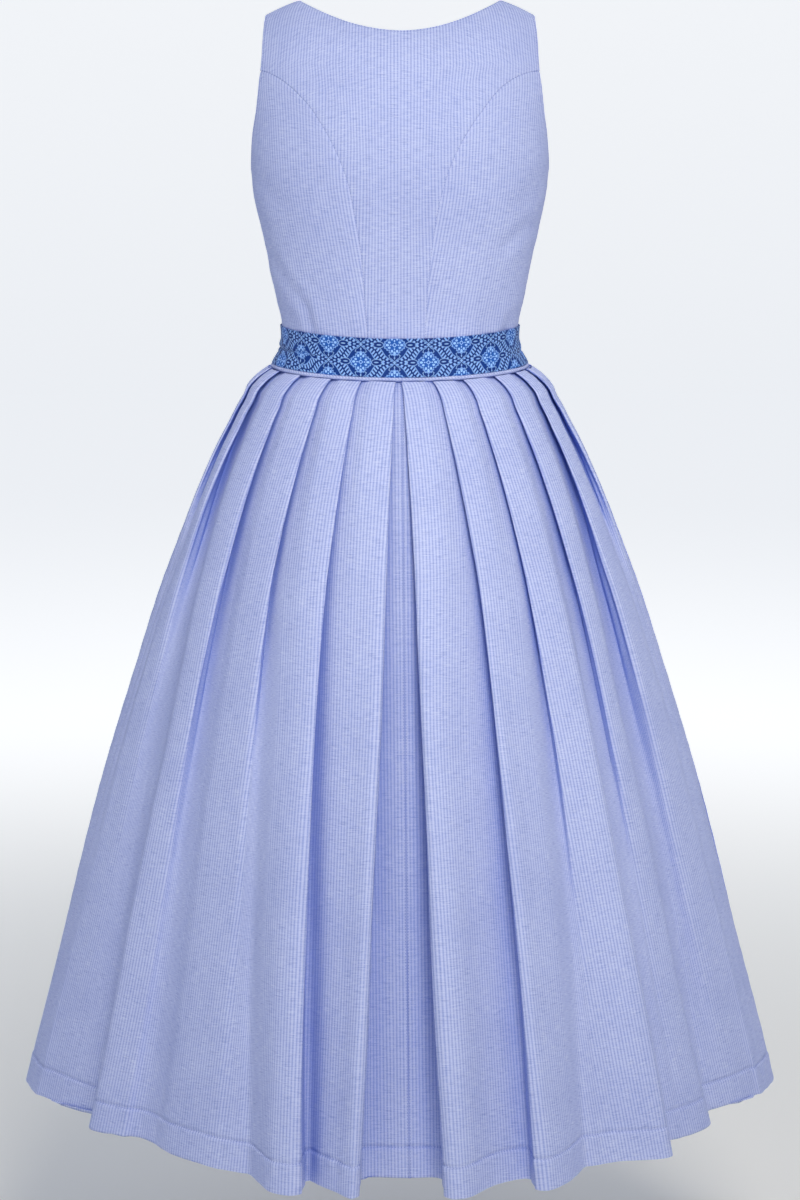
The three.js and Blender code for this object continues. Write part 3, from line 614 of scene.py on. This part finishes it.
# Painted shade: a dark colour for the buttons' holes, which are plugs and not openings
PAINTED_HOLE_SHADE = plain_surface("button_hole_painted_shade", srgb(52, 60, 110), srgb(60, 70, 124), 0.8, 900)


# Bodice

def shoulder_drop(x, z):
    out = np.maximum(0, np.abs(x) - NECK_HALF)
    return (0.3 * out + 0.0035 * out * out) * smooth((z + 100) / (SHOULDER + 100))


def bust(x, z):
    return 9 * np.exp(-(((np.abs(x) - 78) / 48) ** 2) - ((z + 218) / 46) ** 2)


def torso_point(around, z):
    """A point of the torso: around is 0 at the centre back, 1 at the right side, 2 in front."""
    sine = np.sin(around * math.pi / 2)
    facing = np.cos(around * math.pi / 2)
    x = torso_side(z) * sine
    depth = np.maximum(0, 1 - np.abs(sine) ** ROUNDNESS) ** (1 / ROUNDNESS)
    y = np.where(facing > 0, -torso_back(z) * depth, (torso_front(z) + bust(x, z)) * depth)
    return np.stack([x, y, z - shoulder_drop(x, z)], -1)


def torso_normal(around, z):
    across = torso_point(around + 0.02, z) - torso_point(around - 0.02, z)
    top = np.minimum(z + 0.5, SHOULDER)
    return unit(np.cross(across, torso_point(around, top) - torso_point(around, top - 1)))


def around_at(x, z, front):
    share = np.arcsin(clamp(x / torso_side(z), -1, 1)) * 2 / math.pi
    return 2 - share if front else share


def waist_dip(around, z=WAIST):
    return CENTRE_DIP * np.cos(around * math.pi / 2) ** 2 * smooth((-275 - z) / 40)


def centre_edge(hand, front):
    """The curved seam's edge of a centre panel, and above it the armhole."""
    seam, armhole, top = curved_seams[front][hand], armholes[front], SEAM_TOPS[front] - 0.01
    return lambda z: around_at(hand * np.where(z >= top, armhole(z), seam(z) - HALF_SEAM), z, front)


def side_inner(hand, front):
    seam = curved_seams[front][hand]
    return lambda z: around_at(hand * (seam(z) + HALF_SEAM), z, front)


def side_outer(hand, front):
    """The side seam, and above it the armhole."""
    side = 2 - hand if front else hand

    def edge(z):
        arc = np.linalg.norm(torso_point(1, z) - torso_point(0.98, z), axis=-1) / 0.02
        sewn = side + (1 if front else -1) * hand * HALF_SEAM / arc
        return np.where(z > UNDERARM, around_at(hand * armholes[front](z), z, front), sewn)

    return edge


def scoop(lowest, power):
    return lambda x: mix(lowest, SHOULDER - 0.1, clamp(np.abs(x) / NECK_HALF, 0, 1) ** power)


def creases(x, z, table):
    """Troughs and ridges along short lines, each with a soft shoulder."""
    total = np.zeros_like(x)
    for x0, z0, x1, z1, width, depth in table:
        dx, dz = x1 - x0, z1 - z0
        length = math.hypot(dx, dz)
        along = ((x - x0) * dx + (z - z0) * dz) / length ** 2
        across = ((x - x0) * dz - (z - z0) * dx) / length
        ends = smooth((along + 0.35) / 0.5) * smooth((1.35 - along) / 0.5)
        fold = bump(across, width) - 0.4 * bump(np.abs(across) - 2.1 * width, width)
        total += depth * fold * ends
    return total


def levels_between(highest):
    """Levels of the bodice's rows, close at the shoulder's turn and the armhole's foot."""
    if highest > 0:
        turn = [-16, -12, -8.5, -5.5, -3, -1, 1, 3, 4.6, 6, 7, 7.8, 8.4, 8.8, PANEL_TOP]
        ends = [top - gap for top in SEAM_TOPS for gap in (0, TOP_STEP)]
        return np.concatenate([np.union1d(np.linspace(WAIST, -20, 92), ends), turn])
    return np.union1d(np.linspace(WAIST, highest, 76), UNDERARM + np.arange(1, 10, 0.8))


def from_grain(around, z, grain):
    """Distance along each level from the panel's grain line, at one place round the torso."""
    steps = np.linspace(0, 1, 41)
    u = np.empty_like(around)
    for i, (row, level) in enumerate(zip(around, z)):
        places = mix(min(row.min(), grain), max(row.max(), grain), steps)
        order = 1 if row[0] < row[-1] else -1
        points = torso_point(places, np.interp(places, row[::order], level[::order]))
        along = arc_along(points[None], 1)[0]
        u[i] = np.interp(row, places, along) - np.interp(grain, places, along)
    return u


def bodice_panel(name, node, highest, columns, edges, front, top=None, lift=None, seams=(1, 1)):
    """A sewn panel on the torso. seams are the levels up to which each long edge is sewn."""
    start, end = edges
    even = np.linspace(0, 1, columns)
    share = mix(even, (1 - np.cos(math.pi * even)) / 2, 0.75)
    tops = np.full(columns, float(highest))
    for _ in range(30 if top else 0):
        x = torso_point(mix(start(tops), end(tops), share), tops)[..., 0]
        tops = mix(tops, top(x), 0.5)
    level = levels_between(highest)[:, None]
    rise = np.maximum(0, level - BELT_TOP) / (highest - BELT_TOP)
    straight = np.minimum(level, BELT_TOP) + rise * (tops[None] - BELT_TOP)
    around = mix(start(straight), end(straight), share[None])
    z = straight - waist_dip(around, level)
    point = torso_point(around, z)
    normal = torso_normal(around, z)
    x = point[..., 0]
    out = -WALL / 2 + (lift(x) if lift else 0)
    out = out + creases(x, z, FRONT_CREASES if front else BACK_CREASES)
    out = out + BODICE_SLACK * np.sin(x / 21 + z / 33) * np.sin(z / 17 - x / 46)
    out = out + WAIST_RIPPLE * np.sin(z / 6.5 + x / 35 + np.sin(x / 13)) * bump(z + 308, 20)
    arc = arc_along(point, 1)
    for distance, sewn in zip((arc, arc[:, -1:] - arc), seams):
        closed = smooth((sewn - straight) / 3)
        pucker = SEAM_PUCKER * np.sin(z / 2.1 + 2 * np.sin(z / 23)) * bump(distance - 4, 4)
        out = out - closed * (dent(distance, SEAM_GROOVE) + dent(distance, SEAM_HOLLOW) - pucker)
    out = out - dent(arc_along(point[::-1], 0)[::-1], EDGE_ROLL)
    grid = point + normal * out[..., None]
    normals = grid_normals(grid)
    flip = (normals * normal).sum() < 0
    if flip:
        normals = -normals
    u = from_grain(around, z, (2.0 if front else 0.0) if top else around[0, columns // 2])
    uv = np.stack([u, arc_along(grid, 0) + WAIST], -1)
    piece = shell(name, grid, normals, uv, CHAMBRAY, flip)
    dress(piece, node)
    declare_sheet(grid)
    return grid, normals


def dress(piece, node):
    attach(piece, "root")
    if node:
        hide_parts(node)


def declare_sheet(grid, spare=1.0):
    """Works out a piece's cloth from its own surface, times what lies in its folds; the area isn't
    used.
    """
    width = arc_along(grid, 1)[:, -1].max() / 1000
    height = arc_along(grid, 0)[-1].max() / 1000
    steps = np.cross(grid[1:, 1:] - grid[:-1, :-1], grid[1:, :-1] - grid[:-1, 1:])
    area = np.linalg.norm(steps, axis=2).sum() / 2e6 * spare
    area = max(min(area, width * height), 0.31 * width * height)


def seam_line(grid, normals, distance, rows=slice(None), from_end=False):
    """Points and normals at an even distance from a grid's first or last column."""
    order = -1 if from_end else 1
    grid, normals = grid[rows, ::order], normals[rows, ::order]
    line = []
    for along, *sources in zip(arc_along(grid, 1), grid, normals):
        if along[-1] < 2 * distance:
            break
        line.append([between(distance, along, source) for source in sources])
    return np.array(line).transpose(1, 0, 2)


def edge_line(grid, normals, distance, from_edge):
    """Points and normals at one distance along each column of a grid."""
    return [np.array([between(distance, from_edge[:, col], source[:, col])
                      for col in range(grid.shape[1])]) for source in (grid, normals)]


def top_line(grid, normals):
    """The stitches below a neckline."""
    grid, normals = grid[::-1], normals[::-1]
    return edge_line(grid, normals, EDGE_STITCH, arc_along(grid, 0))


def lap_lift(x):
    return LAP_LIFT * smooth((2.6 * LAP_HALF - x) / LAP_HALF)


def build_bodice():
    """All bodice panels; returns the lines of stitches on them."""
    lines = []

    def stitch_edge(panel, column, top, from_end):
        """Stitches beside a seam, and above it along the armhole."""
        sewn = panel[0][:, column, 2] < top - 2
        lines.append(seam_line(*panel, SEAM_STITCH, sewn, from_end))
        lines.append(seam_line(*panel, EDGE_STITCH, ~sewn, from_end))

    edges = centre_edge(-1, False), centre_edge(1, False)
    back = bodice_panel("back_centre_cloth", "bodice_back_centre", PANEL_TOP, BACK_COLUMNS, edges,
                        False, scoop(BACK_NECK, BACK_SCOOP), seams=(BACK_SEAM_TOP, BACK_SEAM_TOP))
    lines.append(top_line(*back))
    for from_end in (False, True):
        stitch_edge(back, 0, BACK_SEAM_TOP, from_end)
    for hand, side in ((-1, "left"), (1, "right")):
        for front, face in enumerate(("back", "front")):
            edges = side_inner(hand, front), side_outer(hand, front)
            panel = bodice_panel(
                f"side_{face}_{side}_cloth", f"bodice_side_{face}_{side}",
                SEAM_TOPS[front] - TOP_STEP, SIDE_COLUMNS, edges, front, seams=(SHOULDER, UNDERARM))
            lines.append(seam_line(*panel, EDGE_STITCH, panel[0][:, -1, 2] > UNDERARM + 2, True))
        edges = (lambda z: around_at(-LAP_HALF * hand + 0 * z, z, True)), centre_edge(hand, True)
        panel = bodice_panel(
            f"front_{side}_cloth", f"bodice_front_{side}", PANEL_TOP, FRONT_COLUMNS, edges, True,
            scoop(FRONT_NECK, FRONT_SCOOP), lap_lift if hand > 0 else None,
            seams=(-math.inf, FRONT_SEAM_TOP))
        lines.append(top_line(*panel))
        stitch_edge(panel, -1, FRONT_SEAM_TOP, True)
        if hand > 0:
            lines += [seam_line(*panel, distance) for distance in PLACKET_STITCHES]
    return lines


# Skirt

def skirt_form(angle, z, sx, sy):
    angle = np.asarray(angle, float)
    return np.stack([sx * skirt_side(z) * np.sin(angle * DEGREE),
                     sy * skirt_deep(z) * np.cos(angle * DEGREE), z + 0 * angle], -1)


def skirt_point(angle, out, z, sx, sy):
    point = skirt_form(angle, z, sx, sy)
    across = skirt_form(angle + 0.5, z, sx, sy) - skirt_form(angle - 0.5, z, sx, sy)
    high = min(z + 2, SKIRT_TOP)
    up = skirt_form(angle, high, sx, sy) - skirt_form(angle, high - 4, sx, sy)
    normal = unit(np.cross(across, up))
    inward = (normal[:, :2] * point[:, :2]).sum(axis=1) < 0
    normal[inward] *= -1
    level = normal * [1, 1, 0] / (normal[:, :2] ** 2).sum(axis=1, keepdims=True)
    normal = mix(normal, level, clamp(1 - (SKIRT_TOP - z) / 5, 0, 1))
    point = point + normal * out[:, None]
    at_waist = 1 - smooth((SKIRT_TOP - z) / 200)
    at_hem = smooth((SKIRT_TOP - z) / (SKIRT_TOP - HEM)) ** 2
    facing = np.cos(angle * DEGREE) ** 2
    point[:, 2] -= (CENTRE_DIP * at_waist + HEM_DIP * at_hem) * facing + HEM_DROP * out * at_hem
    return point


def fold_angle(fold, down):
    waist, quarter, hem = fold
    if down < 0.25:
        return mix(waist, quarter, math.sqrt(down / 0.25))
    return mix(quarter, hem, (down - 0.25) / 0.75)


def lap_at(opens, lap, closed, down):
    if opens > 1:
        return mix(closed, lap, down)
    past = clamp((down - opens) / (1 - opens), 0, 1)
    return mix(closed * (1 - 1.5 * clamp(down / opens, 0, 1)), lap, past)


def pleat_path(pleats, centre, z):
    """The cloth's path across a quarter of the skirt at one level, as in the solids."""
    down = (SKIRT_TOP - z) / (SKIRT_TOP - HEM)
    ends = np.linalg.norm(np.diff(skirt_form([-0.5, 0.5, 89, 90], z, 1, 1), axis=0), axis=1)
    spread = (float(smooth(down)) + down) / 2
    layer = PLEAT_LAYER
    path = [(mix(*centre, down), mix(-layer, pleats[0][2], spread))]
    folds = [fold_angle(pleat[0], down) for pleat in pleats]
    for k, (fold, pleat) in enumerate(zip(folds, pleats)):
        _, crest_end, trough_end, lap_end, opens, step, place, stand, soft = pleat
        last = k == len(pleats) - 1
        after = LAST_FOLD_END if last else folds[k + 1]
        scale = math.hypot(ends[0] * math.cos(fold * DEGREE), ends[2] * math.sin(fold * DEGREE))
        closed = min(CLOSED_LAP, 0.5 * min(after - fold, 14) * scale)
        lap = float(lap_at(opens, lap_end, closed, down))
        rise = step * math.sin(math.pi * min(1, down / min(1, opens)))
        crest = mix(layer, crest_end, spread) + 0.45 * rise
        trough = mix(-layer, trough_end, spread) - 0.55 * rise
        rounded = mix(*FOLD_ROUND, down)
        tuck = min(rounded, lap / 2) if lap > 0 else max(-rounded, lap * 0.35)
        edge = max(min(layer / 2, (crest - trough) / 4), (crest - trough) / 7)
        panel = (path[-1][0] - fold) * scale
        opening = float(smooth(down * 2.5))
        approach = mix(-4, (panel + lap - rounded) / 2, opening)
        if k:
            path.append((fold + approach / scale, mix(trough, path[-1][1], 0.5 * soft * opening)))
        for mm, out in ((lap - rounded, trough), (lap, trough + edge),
                        (lap - tuck, trough + 2 * edge), (tuck, crest - 2 * edge),
                        (0, crest - edge), (rounded, crest)):
            path.append((fold + mm / scale, out))
        share = mix(PANEL_AT, place, float(smooth(down * 2)))
        path.append((mix(fold, 90 if last else after, share), mix(layer * 0.9, stand, spread)))
    path.append((90 - HALF_SEAM / ends[2], mix(layer * 0.7, 0, spread)))
    return np.array(path)


def refine(points, counts):
    """A smooth line through points, with so many steps between each two."""
    gaps = np.sqrt(np.maximum(np.linalg.norm(np.diff(points, axis=0), axis=1), 1e-4))[:, None]
    slopes = np.diff(points, axis=0) / gaps
    inner = (gaps[1:] * slopes[:-1] + gaps[:-1] * slopes[1:]) / (gaps[:-1] + gaps[1:])
    tangents = np.concatenate([slopes[:1], inner, slopes[-1:]])
    line = [points[:1]]
    for i, count in enumerate(counts):
        t = (np.arange(1, count + 1) / count)[:, None]
        a, b = points[i], points[i + 1]
        ma, mb = tangents[i] * gaps[i], tangents[i + 1] * gaps[i]
        line.append((2 * t ** 3 - 3 * t ** 2 + 1) * a + (t ** 3 - 2 * t ** 2 + t) * ma
                    + (3 * t ** 2 - 2 * t ** 3) * b + (t ** 3 - t ** 2) * mb)
    return np.concatenate(line)


SKIRT_ROWS = np.concatenate([np.linspace(SKIRT_TOP, -420, 17), np.linspace(-428, -1084, 80),
                             np.linspace(-1086, HEM, 30)])
# Columns between the points of a pleat's path: up to its trough, from there over its crest to
# the panel's middle, and on from there
FIRST_STEPS = 5
FOLD_STEPS = [3, 3, 3, 3, 3, 9]
PANEL_STEPS = 9
HEM_STEP, HEM_THICKER = 0.4, 0.9  # how far the turned hem stands out, and how much thicker it is
FOLD_SPARE = 1.1  # cut for each part of the skirt's cloth that shows


def cloth_across(arc, marks):
    """Places across the uncut cloth: even on each panel, the rest hidden behind its fold."""
    u = np.empty_like(arc)
    row = np.arange(len(arc))
    base = 0.0
    centre = 0
    for start, end, panel in marks:
        length = arc[:, panel] - arc[:, centre]
        cloth = length[-1]
        before = slice(centre, start + 1)
        u[:, before] = base + arc[:, before] - arc[:, centre:centre + 1]
        after = slice(end, panel + 1)
        u[:, after] = base + cloth + arc[:, after] - arc[:, panel:panel + 1]
        hidden = slice(start, end + 1)
        share = (arc[:, hidden] - arc[:, start:start + 1]) / (arc[:, end] - arc[:, start])[:, None]
        u[:, hidden] = mix(u[row, start][:, None], u[row, end][:, None], share)
        base += cloth
        centre = panel
    u[:, centre:] = base + arc[:, centre:] - arc[:, centre:centre + 1]
    return u


def skirt_quarter(name, table, centre, sx, sy, phase):
    """A quarter with its pleats; returns the lines of its hem's and its centre seam's stitches."""
    pleats = PLEATS[table]
    counts, marks = [FIRST_STEPS], []
    for k in range(len(pleats)):
        if k:
            counts.append(FIRST_STEPS)
        start = sum(counts)
        counts += FOLD_STEPS
        before = FIRST_STEPS if k else 0
        marks.append((start - before, start + sum(FOLD_STEPS[:3]), sum(counts)))
        counts.append(PANEL_STEPS)
    rows = []
    for z in SKIRT_ROWS:
        angle, out = pleat_path(pleats, centre, float(z)).T
        rows.append(refine(skirt_point(angle, out, float(z), sx, sy), counts))
    grid = np.array(rows)
    normals = grid_normals(grid)
    flip = (normals[:, :, :2] * grid[:, :, :2]).sum() < 0
    if flip:
        normals = -normals
    arc = arc_along(grid, 1)
    u = cloth_across(arc, marks)
    v = -arc_along(grid, 0)
    from_hem = v - v[-1:]
    z = grid[..., 2]
    down = clamp((SKIRT_TOP - z) / (SKIRT_TOP - HEM), 0, 1)
    slack = np.sin(u / 31 + z / 150 + phase) * np.sin(z / 83 - u / 140 + 2 * phase)
    out = (SKIRT_SLACK[0] + SKIRT_SLACK[1] * down) * slack
    out = out + SKIRT_RIPPLE * np.sin(u / 9 + phase) * bump(z - SKIRT_TOP, 40)
    out = out - dent(from_hem - HEM_TURN - 1, HEM_GROOVE)
    out = out + HEM_STEP * smooth((HEM_TURN - from_hem) / 2)
    pucker = np.sin(u / 3.3 + 2 * np.sin(u / 19)) * bump(from_hem - HEM_TURN + 3, 8)
    out = out + HEM_PUCKER * pucker
    for distance in (arc, arc[:, -1:] - arc):
        out = out - dent(distance, CENTRE_GROOVE) - dent(distance, CENTRE_HOLLOW)
        pucker = np.sin(z / 4.1 + 2 * np.sin(z / 31)) * bump(distance - 5, 5)
        out = out + CENTRE_PUCKER * pucker
    grid = grid + normals * out[..., None]
    normals = grid_normals(grid) * (-1 if flip else 1)
    turned = HEM_THICKER * smooth((HEM_TURN - from_hem) / 1.5)
    uv = np.stack([u, v], -1)
    piece = shell(f"skirt_{name}_cloth", grid, normals, uv, CHAMBRAY, flip, turned)
    dress(piece, f"skirt_{name}")
    declare_sheet(grid, FOLD_SPARE)
    return (edge_line(grid[::-1], normals[::-1], HEM_TURN, from_hem[::-1]),
            seam_line(grid, normals, CENTRE_STITCH))


def build_skirt():
    """The four quarters; returns the stitch lines of their hems and of their centre edges."""
    gap = HALF_SEAM / 2
    waist, hem = BACK_CENTRE_SEAM
    return zip(*(skirt_quarter(*quarter) for quarter in (
        ("back_left", "back_left", (gap - waist, gap - hem), -1, -1, 0.4),
        ("back_right", "back_right", (gap + waist, gap + hem), 1, -1, 2.1),
        ("front_left", "front", (gap, gap), -1, 1, 3.3),
        ("front_right", "front", (gap, gap), 1, 1, 4.9))))


# Belt, piping and buttons

def front_lap(around):
    x = np.abs(torso_point(around, WAIST)[..., 0])
    return np.where(np.cos(around * math.pi / 2) < 0, smooth((3.4 * LAP_HALF - x) / LAP_HALF), 0)


def build_belt():
    around = np.linspace(-2, 2 + BELT_LAP, BELT_COLUMNS)[None]
    level = np.linspace(WAIST, BELT_TOP, BELT_ROWS)[:, None]
    z = level - waist_dip(around)
    over_end = smooth((around - (2 - BELT_LAP)) / BELT_LAP)
    out = BELT_GAP + BELT_WALL / 2 + LAP_LIFT * front_lap(around)
    out = out + over_end * (BELT_WALL + BELT_GAP)
    height = level - WAIST + 0 * around
    # The ribbon is creased lengthwise where it bends round the sides.
    left = smooth((-0.42 - around) / 0.2) * smooth((around + 1.3) / 0.2)
    right = smooth((around - 0.62) / 0.14) * smooth((1.3 - around) / 0.2)
    tuck = 17 + 5 * (around + 0.8)
    out = out - left * (dent(height - tuck, BELT_TUCK) - dent(height - tuck - 4, BELT_ROLL))
    out = out - left * dent(height - tuck + 9 + 4 * around, BELT_LOW_TUCK)
    low = dent(height - 13 + 6 * (around - 0.9), BELT_RIGHT_TUCK)
    out = out - right * (low - dent(height - 19, BELT_RIGHT_ROLL))
    out = out + BELT_WAVE * np.sin(around * 19 + height / 11)
    grid = torso_point(around + 0 * z, z)
    grid = grid + torso_normal(around + 0 * z, z) * out[..., None]
    u = arc_along(grid, 1)
    middle = np.array([np.interp(0, around[0], row) for row in u])[:, None]
    # A few millimetres of it are hidden in the tuck on the left.
    across = height - BELT_HIDDEN * left * smooth((tuck - height) / 2)
    uv = np.stack([u - middle, across], -1)
    piece = shell("belt_ribbon", grid, grid_normals(grid), uv, RIBBON)
    dress(piece, "belt")
    declare_sheet(grid)


def lathe(profile, sides):
    """Rings of points round an axis, from a profile of radius and height."""
    turn = np.linspace(0, 2 * math.pi, sides, endpoint=False)
    return np.array([[(r * math.cos(a), r * math.sin(a), h) for a in turn] for r, h in profile])


def ring_faces(count, sides, first=0, capped=True):
    """Faces between so many rings of points, and over both ends."""
    index = np.arange(first, first + count * sides).reshape(count, sides)
    after = np.roll(index, -1, axis=1)
    faces = np.stack([index[:-1], after[:-1], after[1:], index[1:]], -1).reshape(-1, 4).tolist()
    return faces + [index[0, ::-1].tolist(), index[-1].tolist()] if capped else faces


def build_piping():
    around = np.linspace(-1.998, 1.998, 361)
    z = WAIST - waist_dip(around)
    point = torso_point(around, z)
    level = unit(torso_normal(around, z) * [1, 1, 0])
    turn = np.linspace(0, 2 * math.pi, PIPING_SIDES, endpoint=False)
    wide, high = PIPING_ROUND
    across = PIPING_OUT + wide * np.cos(turn)
    down = 0.3 - PIPING_DROP - PIPING_HEIGHT / 2 + high * np.sin(turn)
    rings = point[:, None] + level[:, None] * across[None, :, None]
    rings[..., 2] = z[:, None] + down[None]
    along = arc_along(point[None], 1)[0]
    over = PIPING_TURN * turn[None]
    uv = np.stack([along[:, None] + over, over - PIPING_BIAS * along[:, None]], -1)
    piece = new_mesh("waist_piping_cloth", rings, ring_faces(*rings.shape[:2]), [CHAMBRAY], uv)
    dress(piece, "waist_piping")


def build_buttons():
    """Buttons with four holes; returns the stitch lines of their buttonholes."""
    disc = lathe([(r * BUTTON_RADIUS, h * BUTTON_HEIGHT) for r, h in BUTTON_PROFILE], 40)
    # Each hole is a short dark plug with painted shade, set in the button in place of an opening
    hole = lathe([(r, h * BUTTON_HEIGHT) for r, h in HOLE_PROFILE], 12)
    thread = lathe(THREAD_PROFILE, 8)[..., [0, 2, 1]] * [1, 1, -1]
    details = [(disc, 0, (0, 0, 0))]
    details += [(hole, 1, (x * HOLE_AT, y * HOLE_AT, 0))
                for x, y in ((1, 1), (-1, 1), (-1, -1), (1, -1))]
    details += [(thread, 2, (x * HOLE_AT, 0, 0.78 * BUTTON_HEIGHT)) for x in (1, -1)]
    bars = []
    for k in range(BUTTONS):
        z = mix(FIRST_BUTTON, LAST_BUTTON, k / (BUTTONS - 1))
        normal = torso_normal(np.array(2.0), np.array(z))
        place = torso_point(np.array(2.0), np.array(z)) + normal * (LAP_LIFT + BELT_GAP)
        side = unit(np.cross([0, 0, 1], normal))
        up = np.cross(normal, side)
        points, faces, slots = [], [], []
        for rings, slot, shift in details:
            added = ring_faces(*rings.shape[:2], len(points))
            points.extend((rings + shift).reshape(-1, 3) @ np.stack([side, up, normal]) + place)
            faces += added
            slots += [slot] * len(added)
        piece = new_mesh(f"button_{k + 1}_resin", points, faces, [BUTTON, PAINTED_HOLE_SHADE, THREAD])
        piece.data.polygons.foreach_set("material_index", np.array(slots, np.int32))
        dress(piece, f"button_{k + 1}")
        # The buttonhole shows as a sewn bar on both sides of its button.
        for row in (-BAR_ROW, BAR_ROW):
            bar = [place + side * t + up * row for t in np.linspace(-BAR_HALF, BAR_HALF, 12)]
            bars.append((np.array(bar) - normal * BAR_SINK, np.repeat(normal[None], 12, 0)))
    return bars


cloth_lines = build_bodice()
hem_lines, seam_lines = build_skirt()
build_belt()
build_piping()
bar_lines = build_buttons()
# Name, lines, thread, pitch, length, width and height of the stitches
for sewing in (
        ("bodice_stitches", cloth_lines, THREAD, 3.0, 2.3, 0.62, 0.62),
        ("skirt_hem_stitches", hem_lines, THREAD, 3.0, 2.3, 0.62, 0.62),
        ("skirt_seam_stitches", seam_lines, THREAD_PALE, 3.0, 1.9, 0.9, 0.75),
        ("buttonhole_stitches", bar_lines, THREAD, 0.8, 0.7, 0.62, 0.62)):
    dress(stitches(*sewing), None)


# Floor, light and camera, all in metres

FLOOR = -1.4
FLOOR_EDGE = 9.0
WALL_BEND, WALL_TOP = 3, 12
# Painted light: the paper's glow, from and to a distance in metres, and its strength
GLOW_FROM, GLOW_TO, GLOW = 1.45, 3.6, 0.5
PAPER = (0.9, 0.87, 0.8, 1)
SKY, SKY_STRENGTH = (0.74, 0.825, 1.0, 1), 0.5
# Name, place, what it faces, size, watts, colour, spread in degrees
LAMPS = (
    ("key", (0.45, -2.1, 1.15), (0.05, 0, -0.72), (0.9, 0.9), 6.2, (1, 0.965, 0.88), 60),
    ("fill", (-2.0, -2.2, 0.3), (0, 0, -0.6), (1, 1), 5.2, (0.84, 0.9, 1), 180),
    ("back", (0.4, 3.2, 2.2), (0, 0, -0.4), (2.5, 1.6), 32, (1, 1, 1), 180))
CAMERA_PLACE, CAMERA_TILT = (0, -3.4468, -0.0032), 80
CAMERA_LENS, CAMERA_SENSOR = 100, 36


def paper_surface():
    """Pale paper that glows, more away from the dress: painted light on the far floor and wall."""
    s = Surface("paper")
    where = add_node(s.tree, "TexCoord", {}).outputs["Object"]
    away = add_node(s.tree, "VectorMath", {0: where}, operation="LENGTH")
    glow = Num(s.tree, away.outputs["Value"]).step(GLOW_FROM, GLOW_TO) * GLOW
    s.tree.links.new(glow.socket, s.shader.inputs["Emission Strength"])
    return s.finish({"Base Color": PAPER, "Roughness": 0.95, "Emission Color": (1, 1, 1, 1)})


def build_stage():
    """A round pale floor, and far out a pale wall that doesn't shade the dress."""
    paper = paper_surface()
    bend = [(FLOOR_EDGE + WALL_BEND * math.sin(t), FLOOR + WALL_BEND * (1 - math.cos(t)))
            for t in np.linspace(0, math.pi / 2, 13)]
    profiles = {"floor": [(0.001, FLOOR), (FLOOR_EDGE, FLOOR)],
                "wall": bend + [(FLOOR_EDGE + WALL_BEND, WALL_TOP)]}
    for name, profile in profiles.items():
        rings = lathe(profile, 96)
        faces = ring_faces(*rings.shape[:2], capped=False)
        piece = new_mesh(name, rings, faces, [paper], per_metre=1)
    piece.visible_diffuse = piece.visible_glossy = piece.visible_shadow = False


def area_light(name, place, target, size, power, colour, spread):
    data = bpy.data.lights.new(name, "AREA")
    data.shape = "RECTANGLE"
    data.size, data.size_y = size
    data.energy = power
    data.color = colour
    data.spread = math.radians(spread)
    lamp = add_object(name, data)
    lamp.location = place
    lamp.visible_camera = False
    aim = np.array(target) - np.array(place)
    tilt = math.acos(-aim[2] / np.linalg.norm(aim))
    lamp.rotation_euler = (tilt, 0, math.atan2(aim[1], aim[0]) - math.pi / 2)


build_stage()
for lamp in LAMPS:
    area_light(*lamp)
scene = bpy.context.scene
world = scene.world = scene.world or bpy.data.worlds.new("World")
world.use_nodes = True
sky = world.node_tree.nodes["Background"].inputs
sky["Color"].default_value = SKY
sky["Strength"].default_value = SKY_STRENGTH
scene.view_settings.view_transform = "Standard"

lens = bpy.data.cameras.new("camera")
lens.sensor_fit = "VERTICAL"
lens.sensor_height = CAMERA_SENSOR
lens.lens = CAMERA_LENS
camera = scene.camera = add_object("camera", lens)
camera.location = CAMERA_PLACE
camera.rotation_euler = (math.radians(CAMERA_TILT), 0, 0)
